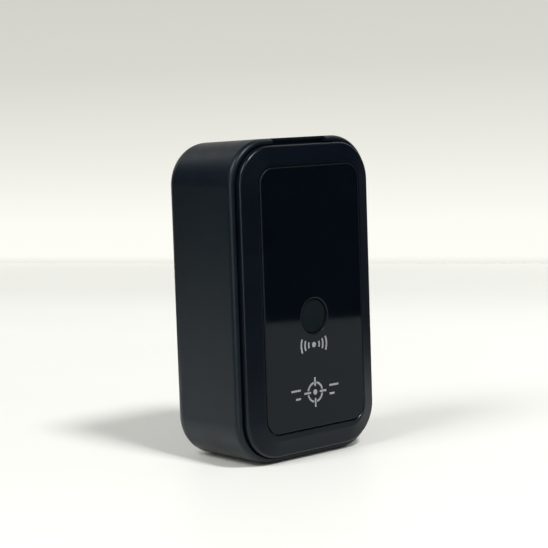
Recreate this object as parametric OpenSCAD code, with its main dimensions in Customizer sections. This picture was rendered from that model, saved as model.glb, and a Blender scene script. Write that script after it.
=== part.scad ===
// Pocket GPS tracker: a tub-shaped housing with a snap-off front cover, a call button,
// and the electronics, the battery and the magnets that it holds.
// It stands on its short end. X is its width, Y its depth with the cover towards -Y, and
// Z its height. The origin is on the ground, under the middle of the part.

/* [Housing] */
// Height of the housing as it stands
shell_h = 45; // [44:0.5:50]
// Width of the housing at its front rim
shell_w = 26; // [25.5:0.5:30]
// Radius of the outline's corners, seen from the front
corner_r = 6.4; // [5.8:0.1:7.2]
// Thickness of the side walls at the front rim
wall = 1.7; // [1.6:0.1:2]
// Thickness of the back wall
back_wall = 1.8; // [1.6:0.1:2.2]
// Thickness of the thin rim in front of the cover's seat
rim_w = 0.7; // [0.65:0.05:1]
// Depth of the rounded shoulder round the front rim
shoulder_r = 0.85; // [0.3:0.05:0.85]
// Radius of the edge round the back
back_edge_r = 2.5; // [1:0.1:3]
// How far the top and the sides lean in from the rim to the back
draft = 0.55; // [0:0.05:0.7]
// Width of the notch in the top of the rim, for prising the cover off
notch_w = 10; // [8:0.5:12]

/* [Front cover] */
// How far the cover stands in front of the rim
cover_rise = 1.7; // [1.4:0.05:2]
// Thickness of the cover's plate
cover_t = 1.3; // [1.1:0.05:1.4]
// Gap between the cover and the rim
cover_gap = 0.25; // [0.2:0.05:0.35]
// How far the cover's margin slopes back from the panel to its edge
cover_slope = 0.75; // [0.4:0.05:0.85]
// Radius of the cover's front edge
cover_edge_r = 0.35; // [0.2:0.05:0.4]
// Depth of the seat that the cover's skirt sits in
seat_d = 0.9; // [0.8:0.1:1.3]

/* [Glossy panel] */
// Margin of the cover left and right of the panel
panel_side = 2.8; // [2.4:0.05:3.4]
// Margin of the cover above the panel
panel_top = 2.95; // [2.6:0.05:3.6]
// Margin of the cover below the panel
panel_bottom = 3.5; // [2.9:0.05:3.8]
// Radius of the panel's corners
panel_r = 2.25; // [1:0.05:3]
// Thickness of the panel
panel_t = 0.55; // [0.4:0.05:0.6]
// How far the panel stands in front of the cover
panel_rise = 0.15; // [0.1:0.05:0.2]

/* [Call button] */
// Diameter of the button's cap
button_d = 4.9; // [4.4:0.1:5.2]
// Gap round the cap
button_gap = 0.2; // [0.15:0.05:0.25]
// How far the cap lies behind the panel's face
button_sunk = 0.3; // [0.1:0.05:0.4]
// Height of the button's centre above the ground
button_up = 20.1; // [19.8:0.1:20.8]
// Travel of the button
button_travel = 0.3; // [0.2:0.05:0.35]

/* [Circuit board] */
// Thickness of the board
board_t = 0.8; // [0.6:0.1:1]
// Clearance between the board and what it fits in
board_gap = 0.4; // [0.3:0.05:0.5]
// Diameter of the board screws' shank
screw_d = 1.4; // [1.2:0.1:1.5]
// Least width of the shield can over the radio, beside the satellite antenna
shield_w = 7.3; // [6:0.1:9]
// Thickness of the satellite antenna
patch_t = 4; // [2:0.25:4]

/* [SIM card] */
// Length of the card, along X
sim_l = 12.3;
// Width of the card, along Z
sim_w = 8.8;
// Thickness of the card
sim_t = 0.67;

/* [Battery] */
// Thickness of the pouch cell
cell_t = 6.5; // [4:0.5:9]
// Gap between the cell and the side walls
cell_side_gap = 1.3; // [1.2:0.1:2.5]
// Thickness of the foam between the board and the cell
foam_t = 0.6; // [0.5:0.1:1.2]

/* [Magnets] */
// Diameter of the two round magnets
magnet_d = 8; // [6:0.5:9]
// Thickness of the magnets
magnet_t = 2; // [1.5:0.25:3]
// How far the magnets stand out of the back
magnet_rise = 0.25; // [0.1:0.05:0.4]
// Distance between the two magnets' centres
magnet_pitch = 22; // [18:1:24]

/* [Hidden] */
$fn = 48;

// Overrun of every cut past the face that it opens
over = 0.5;
// Facets in a quarter of the housing's outline, its shoulder and its back edge
corner_steps = 12;
shoulder_steps = 5;
edge_steps = 7;
// Flat land that the shoulder leaves on the rim
rim_land = 0.1;
// How far the notch digs in behind the rim, and the skin that it leaves above itself
notch_dig = 0.4;
notch_skin = 0.35;

// Cover: skirt, seat clearance, hooks and ribs
skirt_t = 1;
seat_gap = 0.05;
hook_t = 0.75;
hook_w = 4;
hook_gap = 0.1;
hook_reach = 2.85;
barb_h = 0.35;
barb_l = 0.9;
channel_d = 0.45;
hook_up_share = 0.76;
hook_across_share = 0.27;
rib_w = 0.8;
rib_h = 0.8;
rib_across = 6.5;
rib_low = 3.2;
rib_high = 11;
panel_gap = 0.1;
slope_land = 0.2;
panel_bevel = 0.08;

// Button: flange, keeper ring, guide and pusher
flange_w = 0.75;
flange_t = 0.5;
flange_gap = 0.06;
cap_edge_r = 0.3;
keeper_w = 0.5;
keeper_t = 0.4;
keeper_gap = 0.1;
keeper_hole_r = 1.6;
guide_gap = 0.15;
guide_wall = 0.6;
pusher_r = 1;
push_gap = 0.05;

// Switch under the button
switch_w = 3.2;
switch_l = 4.2;
switch_t = 1;
switch_frame_t = 0.25;
plunger_r = 0.8;
plunger_out = 0.45;
plunger_flange_r = 1;
plunger_flange_t = 0.25;
plunger_gap = 0.05;
switch_floor = 0.25;

// Screws, their bosses and their heads
screw_side = 2.9;
screw_up = 2.1;
screw_l = 5;
screw_gap = 0.1;
head_r = 1.3;
head_h = 0.7;
cross_w = 0.35;
cross_d = 0.35;
boss_r = 1.7;
pilot_gap = 0.05;

// Charging socket, which ends a little below the top of its hole in the top wall
usb_w = 7.5;
usb_t = 2.45;
usb_l = 5;
usb_sheet = 0.25;
usb_chamfer = 0.7;
usb_gap = 1;
usb_clear = 0.2;
usb_sunk = 0.5;
usb_tongue_w = 3.6;
usb_tongue_t = 0.6;
usb_back_t = 1.2;

// SIM card socket: floor, rails, clearance, cover sheet, contacts and window
sim_floor = 0.35;
sim_gap = 0.06;
sim_side_gap = 0.1;
sim_rail = 0.4;
sim_end = 0.5;
sim_mouth = 2.9;
sim_sheet = 0.2;
sim_corner = 1.6;
sim_contact_w = 0.8;
sim_contact_l = 2.2;
sim_contact_rise = 0.03;
sim_contact_pitch = 2.54;
sim_window_w = 4.5;
sim_window_l = 3.6;

// Parts on the board. The small ones stand in a row, at shares of the board's half width
part_gap = 0.6;
edge_gap = 0.3;
patch_margin = 0.35;
plate_margin = 1.25;
plate_t = 0.1;
pin_r = 0.45;
pin_rise = 0.15;
pin_share = 0.137;
shield_end = 0.5;
shield_t = 1.8;
shield_sheet = 0.2;
shield_r = 0.8;
chip_margin = 1;
chip_t = 1.1;
processor_w = 5;
processor_t = 0.9;
light_w = 1.6;
light_h = 0.8;
light_t = 0.6;
light_off = 1.2;
mic_r = 2;
mic_t = 1.5;
mic_up = 1.9;
mic_port_r = 0.5;
boot_wall = 0.45;
boot_gap = 0.05;
boot_rise = 0.4;
small_shares = [-0.85, -0.71, -0.57, -0.43, -0.29, -0.15, 0.01, 0.15, 0.29];
small_l = 1;
small_w = 0.5;
small_t = 0.5;
coil_w = 2;
coil_t = 1.2;
crystal_l = 2.5;
crystal_w = 1.6;
crystal_t = 0.7;

// Antenna strip on the housing's side wall
strip_t = 0.15;
strip_w = 5.5;
strip_end = 5.1;
strip_back = 1;
tail_w = 2.5;
tail_foot = 1.4;

// Battery: gaps, edges, cap board, tape, plug and wires
cell_edge_r = 1.6;
cell_gap = 0.4;
cell_back_gap = 0.25;
cap_side = 2;
cap_l = 4.6;
cap_t = 1;
cap_chip_w = 2.8;
cap_chip_t = 0.35;
tape_w = 5;
tape_t = 0.08;
foam_side = 2;
foam_low = 5.7;
foam_high = 0.7;
foam_r = 1;
wire_r = 0.42;
wire_pitch = 1.25;
wire_lead = 0.4;
wire_bend = 1.6;
socket_w = 4.4;
socket_h = 3.2;
socket_t = 2.6;
socket_wall = 0.4;
socket_gap = 0.05;
socket_floor = 0.6;
plug_out = 1;

// Magnets: clearance in the pocket, its floor, and the wall round it
magnet_gap = 0.08;
magnet_floor = 0.8;
magnet_bevel = 0.25;
pad_wall = 1;

// Places along Y, from the panel's face to the magnets' faces
total_d = panel_rise + cover_rise + seat_d + usb_gap + usb_t + board_t + foam_t + cell_t
    + cell_back_gap + magnet_floor + magnet_t;
front_y = -total_d / 2;
cover_y = front_y + panel_rise;
rim_y = cover_y + cover_rise;
panel_back_y = front_y + panel_t;
plate_y = cover_y + cover_t;
seat_y = rim_y + seat_d;
board_y = seat_y + usb_gap + usb_t;
board_back_y = board_y + board_t;
cell_y = board_back_y + foam_t;
cell_back_y = cell_y + cell_t;
pad_y = cell_back_y + cell_back_gap;
magnet_y = pad_y + magnet_floor;
magnet_face_y = magnet_y + magnet_t;
back_y = magnet_face_y - magnet_rise;
inside_back_y = back_y - back_wall;
shell_d = back_y - rim_y;

// Housing, its inside and the cover
mid_z = shell_h / 2;
inside_w = shell_w - 2 * wall;
inside_h = shell_h - 2 * wall;
inside_r = corner_r - wall;
shoulder = min(shoulder_r, rim_w - rim_land);
hook_x = inside_w / 2 - hook_gap;
cover_inset = rim_w + cover_gap;
cover_w = shell_w - 2 * cover_inset;
cover_h = shell_h - 2 * cover_inset;
cover_r = corner_r - cover_inset;
slope_w = min(panel_side, panel_top, panel_bottom) - panel_gap - slope_land;
skirt_y = seat_y - seat_gap;
hook_y = skirt_y + hook_reach;
panel_w = cover_w - 2 * panel_side;
panel_h = cover_h - panel_top - panel_bottom;
panel_z = cover_inset + panel_bottom + panel_h / 2;

// Button stack along Y
button_r = button_d / 2;
hole_r = button_r + button_gap;
flange_r = button_r + flange_w;
cap_y = front_y + button_sunk;
flange_y = plate_y + flange_gap;
keeper_y = flange_y + flange_t + button_travel + keeper_gap;
keeper_back_y = keeper_y + keeper_t;
guide_r = flange_r + guide_gap;
keeper_r = guide_r + keeper_w;
guide_out_r = keeper_r + guide_wall;
plunger_y = board_y - switch_t - switch_frame_t - plunger_out;
pusher_y = plunger_y - push_gap;

// Board, its screws and the places of its parts
board_w = 2 * (hook_x - hook_t) - board_gap;
board_h = inside_h - 2 * board_gap;
board_z = wall + board_gap;
board_top_z = board_z + board_h;
screw_x = board_w / 2 - screw_side;
screw_z = [board_z + screw_up, board_top_z - screw_up];
tray_z = screw_z[0] + head_r + part_gap;
tray_x1 = board_w / 2 - edge_gap;
card_x1 = tray_x1 - sim_end - sim_side_gap;
card_x0 = card_x1 - sim_l;
card_z = tray_z + sim_rail + sim_side_gap;
tray_x0 = card_x0 + sim_mouth;
tray_top_z = card_z + sim_w + sim_side_gap + sim_rail;
card_back_y = board_y - sim_floor - sim_gap;
card_y = card_back_y - sim_t;
sheet_y = card_y - sim_gap;
coil_z = screw_z[1] - head_r - part_gap / 2 - coil_w / 2;
patch_x = -board_w / 2 + edge_gap;
patch_low = button_up + guide_out_r + part_gap / 2;
patch_room_w = board_w - 2 * edge_gap - part_gap - shield_w;
patch_room_h = coil_z - coil_w / 2 - patch_margin - patch_low;
patch_w = min(patch_room_w, patch_room_h);
patch_z = patch_low + (patch_room_h - patch_w) / 2;
plate_w = patch_w - 2 * plate_margin;
pin_x = patch_x + patch_w / 2;
pin_z = patch_z + patch_w / 2 - pin_share * plate_w;
shield_x0 = patch_x + patch_w + part_gap;
shield_x1 = board_w / 2 - edge_gap;
shield_h = patch_room_h - shield_end;
boot_r = mic_r + boot_gap + boot_wall;
mic_x = board_w / 2 - edge_gap / 2 - boot_r;
mic_z = button_up + mic_up;
small_z = patch_low - part_gap / 2 - small_l / 2;
hook_z = [tray_top_z + hook_w / 2 + part_gap, shell_h * hook_up_share];
usb_top_z = shell_h - usb_sunk;
usb_z = usb_top_z - usb_l;

// Battery
cell_w = inside_w - 2 * cell_side_gap;
cell_z = screw_z[0] + boss_r + cell_gap;
cap_top_z = screw_z[1] - boss_r - cell_gap;
cell_top_z = cap_top_z - cap_t;
cell_mid_y = (cell_y + cell_back_y) / 2;
cap_w = cell_w - 2 * cap_side;
foam_z0 = cell_z + foam_low;
foam_z1 = cell_top_z - tape_w - foam_high;
plug_z = board_top_z - socket_h / 2 - edge_gap;
plug_back_y = board_back_y + socket_t + plug_out;
wire_x = wire_pitch / 2;
wire_y = plug_back_y + wire_lead + wire_bend;
magnet_z = [mid_z - magnet_pitch / 2, mid_z + magnet_pitch / 2];

// A box from its lowest corner to its highest
module block(low, high) {
    translate(low) cube(high - low);
}

// A prism along Y over a sketch in X and Z
module prism_y(y0, y1) {
    translate([0, y1, 0]) rotate([90, 0, 0]) linear_extrude(y1 - y0) children();
}

// A rod along Y
module rod_y(r, y0, y1) {
    translate([0, y1, 0]) rotate([90, 0, 0]) cylinder(h = y1 - y0, r = r);
}

// A turned shape about Y, over a sketch of radius and depth
module turned_y() {
    rotate([-90, 0, 0]) rotate_extrude() children();
}

// Sketch of a rectangle with round corners, centred
module round_rect(w, h, r) {
    square([w - 2 * r, h], center = true);
    square([w, h - 2 * r], center = true);
    for (sx = [-1, 1], sz = [-1, 1])
        translate([sx * (w / 2 - r), sz * (h / 2 - r)]) circle(r);
}

// A profile swept round a rectangle with round corners. The profile's X is the distance
// outwards from the corner's centre, and its Y is the depth.
module sweep_round(w, h, r) {
    for (sx = [0, 1], sz = [0, 1])
        mirror([sx, 0, 0]) mirror([0, 0, sz])
            translate([w / 2 - r, 0, -(h / 2 - r)])
                rotate([-90, 0, 0]) rotate_extrude(angle = 90) children();
    for (sx = [0, 1])
        mirror([sx, 0, 0])
            translate([w / 2 - r, 0, -(h / 2 - r)]) linear_extrude(h - 2 * r) children();
    for (sz = [0, 1])
        mirror([0, 0, sz])
            translate([w / 2 - r, 0, h / 2 - r])
                rotate([0, -90, 0]) linear_extrude(w - 2 * r) children();
}

// Points of one quarter of the outline, about its corner's centre
function corner_points(x, z, r, start) = [
    for (k = [0:corner_steps])
        let (a = start + 90 * k / corner_steps)
        [x + r * cos(a), z + r * sin(a)]
];

// The housing's outline: flat below, so that it stands, and leaning in on its other sides
function lean(y) = draft * max(0, y - rim_y - shoulder_r) / (shell_d - shoulder_r);
function shell_ring(inset, y) =
    let (
        x = shell_w / 2 - inset - lean(y),
        z0 = inset,
        z1 = shell_h - inset - lean(y),
        r = corner_r - inset - lean(y)
    )
    [for (p = concat(
        corner_points(x - r, z0 + r, r, -90),
        corner_points(x - r, z1 - r, r, 0),
        corner_points(r - x, z1 - r, r, 90),
        corner_points(r - x, z0 + r, r, 180)
    )) [p[0], y, p[1]]];

// Rings of the housing's skin: round the shoulder, then round the back edge
shell_rings = concat(
    [for (k = [0:shoulder_steps])
        let (a = 90 * k / shoulder_steps)
        shell_ring(shoulder * (1 - sin(a)), rim_y + shoulder_r * (1 - cos(a)))],
    [for (k = [0:edge_steps])
        let (a = 90 * k / edge_steps)
        shell_ring(back_edge_r * (1 - cos(a)), back_y - back_edge_r * (1 - sin(a)))]
);

// A closed skin over rings of as many points each, the first one in front
module loft(rings) {
    n = len(rings[0]);
    last = len(rings) - 1;
    polyhedron(
        points = [for (ring = rings) each ring],
        faces = concat(
            [[for (i = [n - 1:-1:0]) i]],
            [[for (i = [0:n - 1]) last * n + i]],
            [for (k = [0:last - 1], i = [0:n - 1])
                [k * n + i, k * n + (i + 1) % n, (k + 1) * n + (i + 1) % n, (k + 1) * n + i]]
        )
    );
}

// Places of the four board screws
module at_screws() {
    for (sx = [-1, 1], z = screw_z)
        translate([sx * screw_x, 0, z]) children();
}

// Places of the snap hooks, each turned so that its wall is towards +X
module at_hooks() {
    for (sx = [0, 1], z = hook_z)
        mirror([sx, 0, 0]) translate([inside_w / 2, 0, z]) children();
    for (sx = [-1, 1])
        translate([sx * hook_across_share * cover_w / 2, 0, wall])
            rotate([0, 90, 0]) children();
}

module rear_shell() {
    color("#26282b")
    difference() {
        union() {
            difference() {
                loft(shell_rings);
                translate([0, 0, mid_z]) prism_y(rim_y - over, seat_y)
                    round_rect(shell_w - 2 * rim_w, shell_h - 2 * rim_w, corner_r - rim_w);
                translate([0, 0, mid_z]) prism_y(seat_y - over, inside_back_y)
                    round_rect(inside_w, inside_h, inside_r);
            }
            at_screws() rod_y(boss_r, board_back_y, inside_back_y + over);
            for (z = magnet_z)
                translate([0, 0, z])
                    rod_y(magnet_d / 2 + pad_wall, pad_y, inside_back_y + over);
        }
        at_screws() rod_y(screw_d / 2 + pilot_gap, board_back_y - over, board_y + screw_l + over);
        for (z = magnet_z)
            translate([0, 0, z]) rod_y(magnet_d / 2 + magnet_gap, magnet_y, back_y + over);
        at_hooks() block(
            [-over, seat_y - over, -hook_w / 2 - hook_gap],
            [channel_d, hook_y + hook_gap, hook_w / 2 + hook_gap]
        );
        block(
            [-notch_w / 2, rim_y - over, shell_h - wall],
            [notch_w / 2, seat_y, shell_h + over]
        );
        block(
            [-notch_w / 2, rim_y - over, shell_h - wall],
            [notch_w / 2, seat_y + notch_dig, shell_h - notch_skin]
        );
        translate([0, board_y, shell_h - wall - over]) linear_extrude(wall + 2 * over)
            usb_sketch(-usb_clear);
        translate([shell_w / 2 + over, board_y - mic_t / 2, mic_z]) rotate([0, -90, 0])
            cylinder(h = wall + 2 * over, r = mic_port_r);
    }
}

// Section of the cover's edge: the plate, which slopes back to a round edge, and the skirt
module cover_edge() {
    edge_y = cover_y + cover_slope + cover_edge_r;
    hull() {
        translate([0, cover_y]) square([cover_r - slope_w, cover_t]);
        translate([cover_r - cover_edge_r, edge_y]) circle(cover_edge_r);
        translate([0, edge_y]) square([cover_r, plate_y - edge_y]);
    }
    translate([cover_r - skirt_t, edge_y]) square([skirt_t, skirt_y - edge_y]);
}

// One snap hook, with a barb that slides in its channel in the wall
module snap_hook() {
    translate([0, 0, -hook_w / 2]) linear_extrude(hook_w)
        polygon([
            [-hook_gap - hook_t, cover_y + cover_t / 2],
            [-hook_gap, cover_y + cover_t / 2],
            [-hook_gap, hook_y - barb_l],
            [barb_h - hook_gap, hook_y - barb_l / 2],
            [-hook_gap, hook_y],
            [-hook_gap - hook_t, hook_y]
        ]);
}

module front_cover() {
    color("#1b1c1f")
    difference() {
        union() {
            translate([0, 0, mid_z]) {
                sweep_round(cover_w, cover_h, cover_r) cover_edge();
                prism_y(cover_y, plate_y)
                    square([cover_w - 2 * cover_r, cover_h - 2 * cover_r], center = true);
            }
            at_hooks() snap_hook();
            translate([0, 0, button_up]) rod_y(guide_out_r, cover_y + cover_t / 2, keeper_back_y);
            for (sx = [-1, 1])
                block(
                    [sx * rib_across - rib_w / 2, cover_y + cover_t / 2, cover_inset + rib_low],
                    [sx * rib_across + rib_w / 2, plate_y + rib_h, cover_inset + rib_high]
                );
        }
        translate([0, 0, panel_z]) prism_y(cover_y - over, panel_back_y)
            round_rect(panel_w + 2 * panel_gap, panel_h + 2 * panel_gap, panel_r + panel_gap);
        translate([0, 0, button_up]) {
            rod_y(hole_r, cover_y - over, plate_y + over);
            rod_y(guide_r, plate_y, keeper_back_y + over);
            rod_y(keeper_r + socket_gap, keeper_y, keeper_back_y + over);
        }
    }
}

// Section of the panel's edge, with a small bevel in front
module panel_edge() {
    polygon([
        [0, front_y],
        [panel_r - panel_bevel, front_y],
        [panel_r, front_y + panel_bevel],
        [panel_r, panel_back_y],
        [0, panel_back_y]
    ]);
}

module gloss_panel() {
    color("#0c0d10")
    difference() {
        translate([0, 0, panel_z]) {
            sweep_round(panel_w, panel_h, panel_r) panel_edge();
            prism_y(front_y, panel_back_y)
                square([panel_w - 2 * panel_r, panel_h - 2 * panel_r], center = true);
        }
        translate([0, 0, button_up]) rod_y(hole_r, front_y - over, panel_back_y + over);
    }
}

module call_button() {
    e = min(cap_edge_r, button_r);
    color("#2c2e31")
    translate([0, 0, button_up]) turned_y() {
        translate([0, cap_y]) square([button_r - e, flange_y - cap_y]);
        translate([0, cap_y + e]) square([button_r, flange_y + flange_t - cap_y - e]);
        intersection() {
            translate([button_r - e, cap_y + e]) circle(e);
            translate([0, cap_y]) square([button_r, 2 * e]);
        }
        translate([0, flange_y]) square([flange_r, flange_t]);
        translate([0, flange_y]) square([pusher_r, pusher_y - flange_y]);
    }
}

module button_keeper() {
    color("#3a3b3d")
    translate([0, 0, button_up]) difference() {
        rod_y(keeper_r, keeper_y, keeper_back_y);
        rod_y(keeper_hole_r, keeper_y - over, keeper_back_y + over);
    }
}

module circuit_board() {
    color("#14532d")
    difference() {
        translate([0, 0, mid_z]) prism_y(board_y, board_back_y)
            round_rect(board_w, board_h, inside_r - board_gap);
        at_screws() rod_y(screw_d / 2 + screw_gap, board_y - over, board_back_y + over);
    }
}

module board_screws() {
    color("silver")
    at_screws() difference() {
        union() {
            rod_y(head_r, board_y - head_h, board_y);
            rod_y(screw_d / 2, board_y - head_h / 2, board_y + screw_l);
        }
        for (turn = [0, 90])
            rotate([0, turn, 0]) block(
                [-head_r / 2, board_y - head_h - over, -cross_w / 2],
                [head_r / 2, board_y - head_h + cross_d, cross_w / 2]
            );
    }
}

module switch_body() {
    color("#1d1d1f")
    translate([0, 0, button_up]) difference() {
        block(
            [-switch_w / 2, board_y - switch_t, -switch_l / 2],
            [switch_w / 2, board_y, switch_l / 2]
        );
        rod_y(
            plunger_flange_r + plunger_gap,
            board_y - switch_t - over,
            board_y - switch_floor
        );
    }
}

module switch_frame() {
    frame_y = board_y - switch_t - switch_frame_t;
    color("lightgray")
    translate([0, 0, button_up]) difference() {
        block(
            [-switch_w / 2, frame_y, -switch_l / 2],
            [switch_w / 2, frame_y + switch_frame_t, switch_l / 2]
        );
        rod_y(plunger_r + plunger_gap, frame_y - over, frame_y + switch_frame_t + over);
    }
}

module switch_plunger() {
    flange_front_y = board_y - switch_t + plunger_gap;
    color("#f2efe6")
    translate([0, 0, button_up]) {
        rod_y(plunger_r, plunger_y, flange_front_y + plunger_flange_t);
        rod_y(plunger_flange_r, flange_front_y, flange_front_y + plunger_flange_t);
    }
}

module status_lights() {
    color("ivory")
    for (sx = [-1, 1])
        chip(
            sx * light_off,
            button_up + (switch_l + light_h + part_gap) / 2,
            light_w,
            light_h,
            light_t
        );
}

// A chip that lies on the board's front, centred on a place in X and Z
module chip(x, z, w, h, t) {
    block([x - w / 2, board_y - t, z - h / 2], [x + w / 2, board_y, z + h / 2]);
}

module processor() {
    color("#17181a")
    chip(part_gap + (processor_w - board_w) / 2, button_up, processor_w, processor_w, processor_t);
}

module small_parts() {
    color("tan")
    for (share = small_shares)
        chip(share * board_w / 2, small_z, small_w, small_l, small_t);
    color("#444444")
    chip(-screw_x, coil_z, coil_w, coil_w, coil_t);
    color("silver")
    chip(screw_x, coil_z, crystal_l, crystal_w, crystal_t);
}

module modem_shield() {
    low = [shield_x0, board_y - shield_t, patch_low];
    high = [shield_x1, board_y, patch_low + shield_h];
    mid = (low + high) / 2;
    size = high - low;
    color("gainsboro")
    difference() {
        translate([mid[0], 0, mid[2]]) prism_y(low[1], high[1])
            round_rect(size[0], size[2], shield_r);
        translate([mid[0], 0, mid[2]]) prism_y(low[1] + shield_sheet, high[1] + over)
            round_rect(
                size[0] - 2 * shield_sheet,
                size[2] - 2 * shield_sheet,
                shield_r - shield_sheet
            );
    }
}

module modem_chip() {
    color("#17181a")
    chip(
        (shield_x0 + shield_x1) / 2,
        patch_low + shield_h / 2,
        shield_x1 - shield_x0 - 2 * chip_margin,
        shield_h - 2 * chip_margin,
        chip_t
    );
}

module gps_patch() {
    color("#c9b79a")
    difference() {
        block([patch_x, board_y - patch_t, patch_z], [patch_x + patch_w, board_y, patch_z + patch_w]);
        translate([pin_x, 0, pin_z]) rod_y(pin_r / 2, board_y - patch_t - over, board_y + over);
    }
}

module gps_patch_plate() {
    x = patch_x + plate_margin;
    z = patch_z + plate_margin;
    color("silver")
    difference() {
        block([x, board_y - patch_t - plate_t, z], [x + plate_w, board_y - patch_t, z + plate_w]);
        translate([pin_x, 0, pin_z]) rod_y(pin_r / 2, board_y - patch_t - over, board_y + over);
    }
}

module gps_feed_pin() {
    plate_front_y = board_y - patch_t - plate_t;
    color("lightgray")
    translate([pin_x, 0, pin_z]) {
        rod_y(pin_r, plate_front_y - pin_rise, plate_front_y);
        rod_y(pin_r / 2 - socket_gap, plate_front_y - pin_rise / 2, board_y);
    }
}

module gsm_antenna() {
    x = -inside_w / 2;
    end_z = inside_h / 2 - inside_r - strip_end;
    color("#b87333")
    translate([0, 0, mid_z]) {
        block(
            [x, board_back_y + strip_back, -end_z],
            [x + strip_t, board_back_y + strip_back + strip_w, end_z]
        );
        block(
            [x, board_back_y, -tail_w / 2],
            [x + strip_t, board_back_y + strip_back + strip_w / 2, tail_w / 2]
        );
        block(
            [x, board_back_y, -tail_w / 2],
            [-board_w / 2 + tail_foot, board_back_y + strip_t, tail_w / 2]
        );
    }
}

// Places of the socket's six contacts, in two rows, under the card's middle
module at_contacts() {
    for (sx = [-1, 1], row = [-1:1])
        translate([
            card_x1 - sim_l / 2 + sx * sim_contact_l,
            0,
            card_z + sim_w / 2 + row * sim_contact_pitch
        ]) children();
}

module sim_tray() {
    color("#202124")
    difference() {
        block([tray_x0, card_y - sim_gap, tray_z], [tray_x1, board_y, tray_top_z]);
        block(
            [tray_x0 - over, card_y - sim_gap - over, card_z - sim_side_gap],
            [card_x1 + sim_side_gap, card_back_y + sim_gap, card_z + sim_w + sim_side_gap]
        );
        at_contacts() block(
            [-sim_contact_l / 2, card_y, -sim_contact_w / 2],
            [sim_contact_l / 2, board_y + over, sim_contact_w / 2]
        );
    }
}

module sim_contacts() {
    color("gold")
    at_contacts() block(
        [
            -sim_contact_l / 2 + socket_gap,
            card_back_y + sim_gap - sim_contact_rise,
            -sim_contact_w / 2 + socket_gap
        ],
        [sim_contact_l / 2 - socket_gap, board_y, sim_contact_w / 2 - socket_gap]
    );
}

module sim_cover() {
    window_x = (tray_x0 + tray_x1) / 2;
    window_z = card_z + sim_w / 2;
    color("lightgray")
    difference() {
        block([tray_x0, sheet_y - sim_sheet, tray_z], [tray_x1, sheet_y, tray_top_z]);
        block(
            [window_x - sim_window_l / 2, sheet_y - sim_sheet - over, window_z - sim_window_w / 2],
            [window_x + sim_window_l / 2, sheet_y + over, window_z + sim_window_w / 2]
        );
    }
}

module sim_card() {
    color("#e8e6df")
    prism_y(card_y, card_back_y)
        polygon([
            [card_x0, card_z],
            [card_x1 - sim_corner, card_z],
            [card_x1, card_z + sim_corner],
            [card_x1, card_z + sim_w],
            [card_x0, card_z + sim_w]
        ]);
}

// Sketch of the charging socket's mouth: two corners are cut, so that a plug fits one way
module usb_sketch(inset) {
    x = usb_w / 2 - inset;
    y0 = -usb_t + inset;
    c = usb_chamfer - inset / 2;
    polygon([[-x, -inset], [x, -inset], [x, y0 + c], [x - c, y0], [c - x, y0], [-x, y0 + c]]);
}

module usb_shell() {
    color("silver")
    translate([0, board_y, usb_z]) difference() {
        linear_extrude(usb_l) usb_sketch(0);
        translate([0, 0, -over]) linear_extrude(usb_l + 2 * over) usb_sketch(usb_sheet);
    }
}

module usb_tongue() {
    mid_y = board_y - usb_t / 2;
    color("#101113")
    union() {
        translate([0, board_y, usb_z]) linear_extrude(usb_back_t) usb_sketch(usb_sheet);
        block(
            [-usb_tongue_w / 2, mid_y - usb_tongue_t / 2, usb_z + usb_back_t / 2],
            [usb_tongue_w / 2, mid_y + usb_tongue_t / 2, usb_top_z - usb_back_t / 2]
        );
    }
}

module microphone() {
    color("silver")
    translate([mic_x, 0, mic_z]) rod_y(mic_r, board_y - mic_t, board_y);
}

module microphone_boot() {
    color("#1a1a1a")
    translate([mic_x, 0, mic_z]) difference() {
        rod_y(boot_r, board_y - mic_t - boot_rise, board_y);
        rod_y(mic_r + boot_gap, board_y - mic_t, board_y + over);
        rod_y(mic_r / 2, board_y - mic_t - boot_rise - over, board_y);
    }
}

module foam_pad() {
    color("#3b3d40")
    translate([0, 0, (foam_z0 + foam_z1) / 2]) prism_y(board_back_y, cell_y)
        round_rect(cell_w - 2 * foam_side, foam_z1 - foam_z0, foam_r);
}

module battery_cell() {
    color("#b9bec4")
    translate([0, cell_mid_y, cell_z]) linear_extrude(cell_top_z - cell_z)
        round_rect(cell_w, cell_t, cell_edge_r);
}

module battery_cap_board() {
    color("#14532d")
    translate([0, cell_mid_y, cell_top_z]) {
        translate([-cap_w / 2, -cap_l / 2, 0]) cube([cap_w, cap_l, cap_t]);
        for (sx = [-1, 1])
            translate([sx * cap_w / 3 - cap_chip_w / 2, -cap_chip_w / 2, cap_t])
                cube([cap_chip_w, cap_chip_w, cap_chip_t]);
    }
}

module battery_tape() {
    color("goldenrod")
    translate([0, cell_mid_y, cell_top_z - tape_w]) linear_extrude(tape_w)
        difference() {
            round_rect(cell_w + 2 * tape_t, cell_t + 2 * tape_t, cell_edge_r + tape_t);
            round_rect(cell_w, cell_t, cell_edge_r);
        }
}

// A wire from the plug's back, round a bend, down to the cap board
module battery_wire() {
    translate([0, 0, plug_z]) rod_y(wire_r, plug_back_y, plug_back_y + wire_lead);
    translate([0, wire_y - wire_bend, plug_z - wire_bend])
        rotate([90, 0, 90]) rotate_extrude(angle = 90)
            translate([wire_bend, 0]) circle(wire_r);
    translate([0, wire_y, cap_top_z])
        cylinder(h = plug_z - wire_bend - cap_top_z, r = wire_r);
}

module battery_wire_red() {
    color("red")
    translate([wire_x, 0, 0]) battery_wire();
}

module battery_wire_black() {
    color("#151515")
    translate([-wire_x, 0, 0]) battery_wire();
}

module battery_plug() {
    w = socket_w - 2 * (socket_wall + socket_gap);
    h = socket_h - 2 * (socket_wall + socket_gap);
    color("ivory")
    translate([0, 0, plug_z]) block(
        [-w / 2, board_back_y + socket_floor, -h / 2],
        [w / 2, plug_back_y, h / 2]
    );
}

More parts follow.
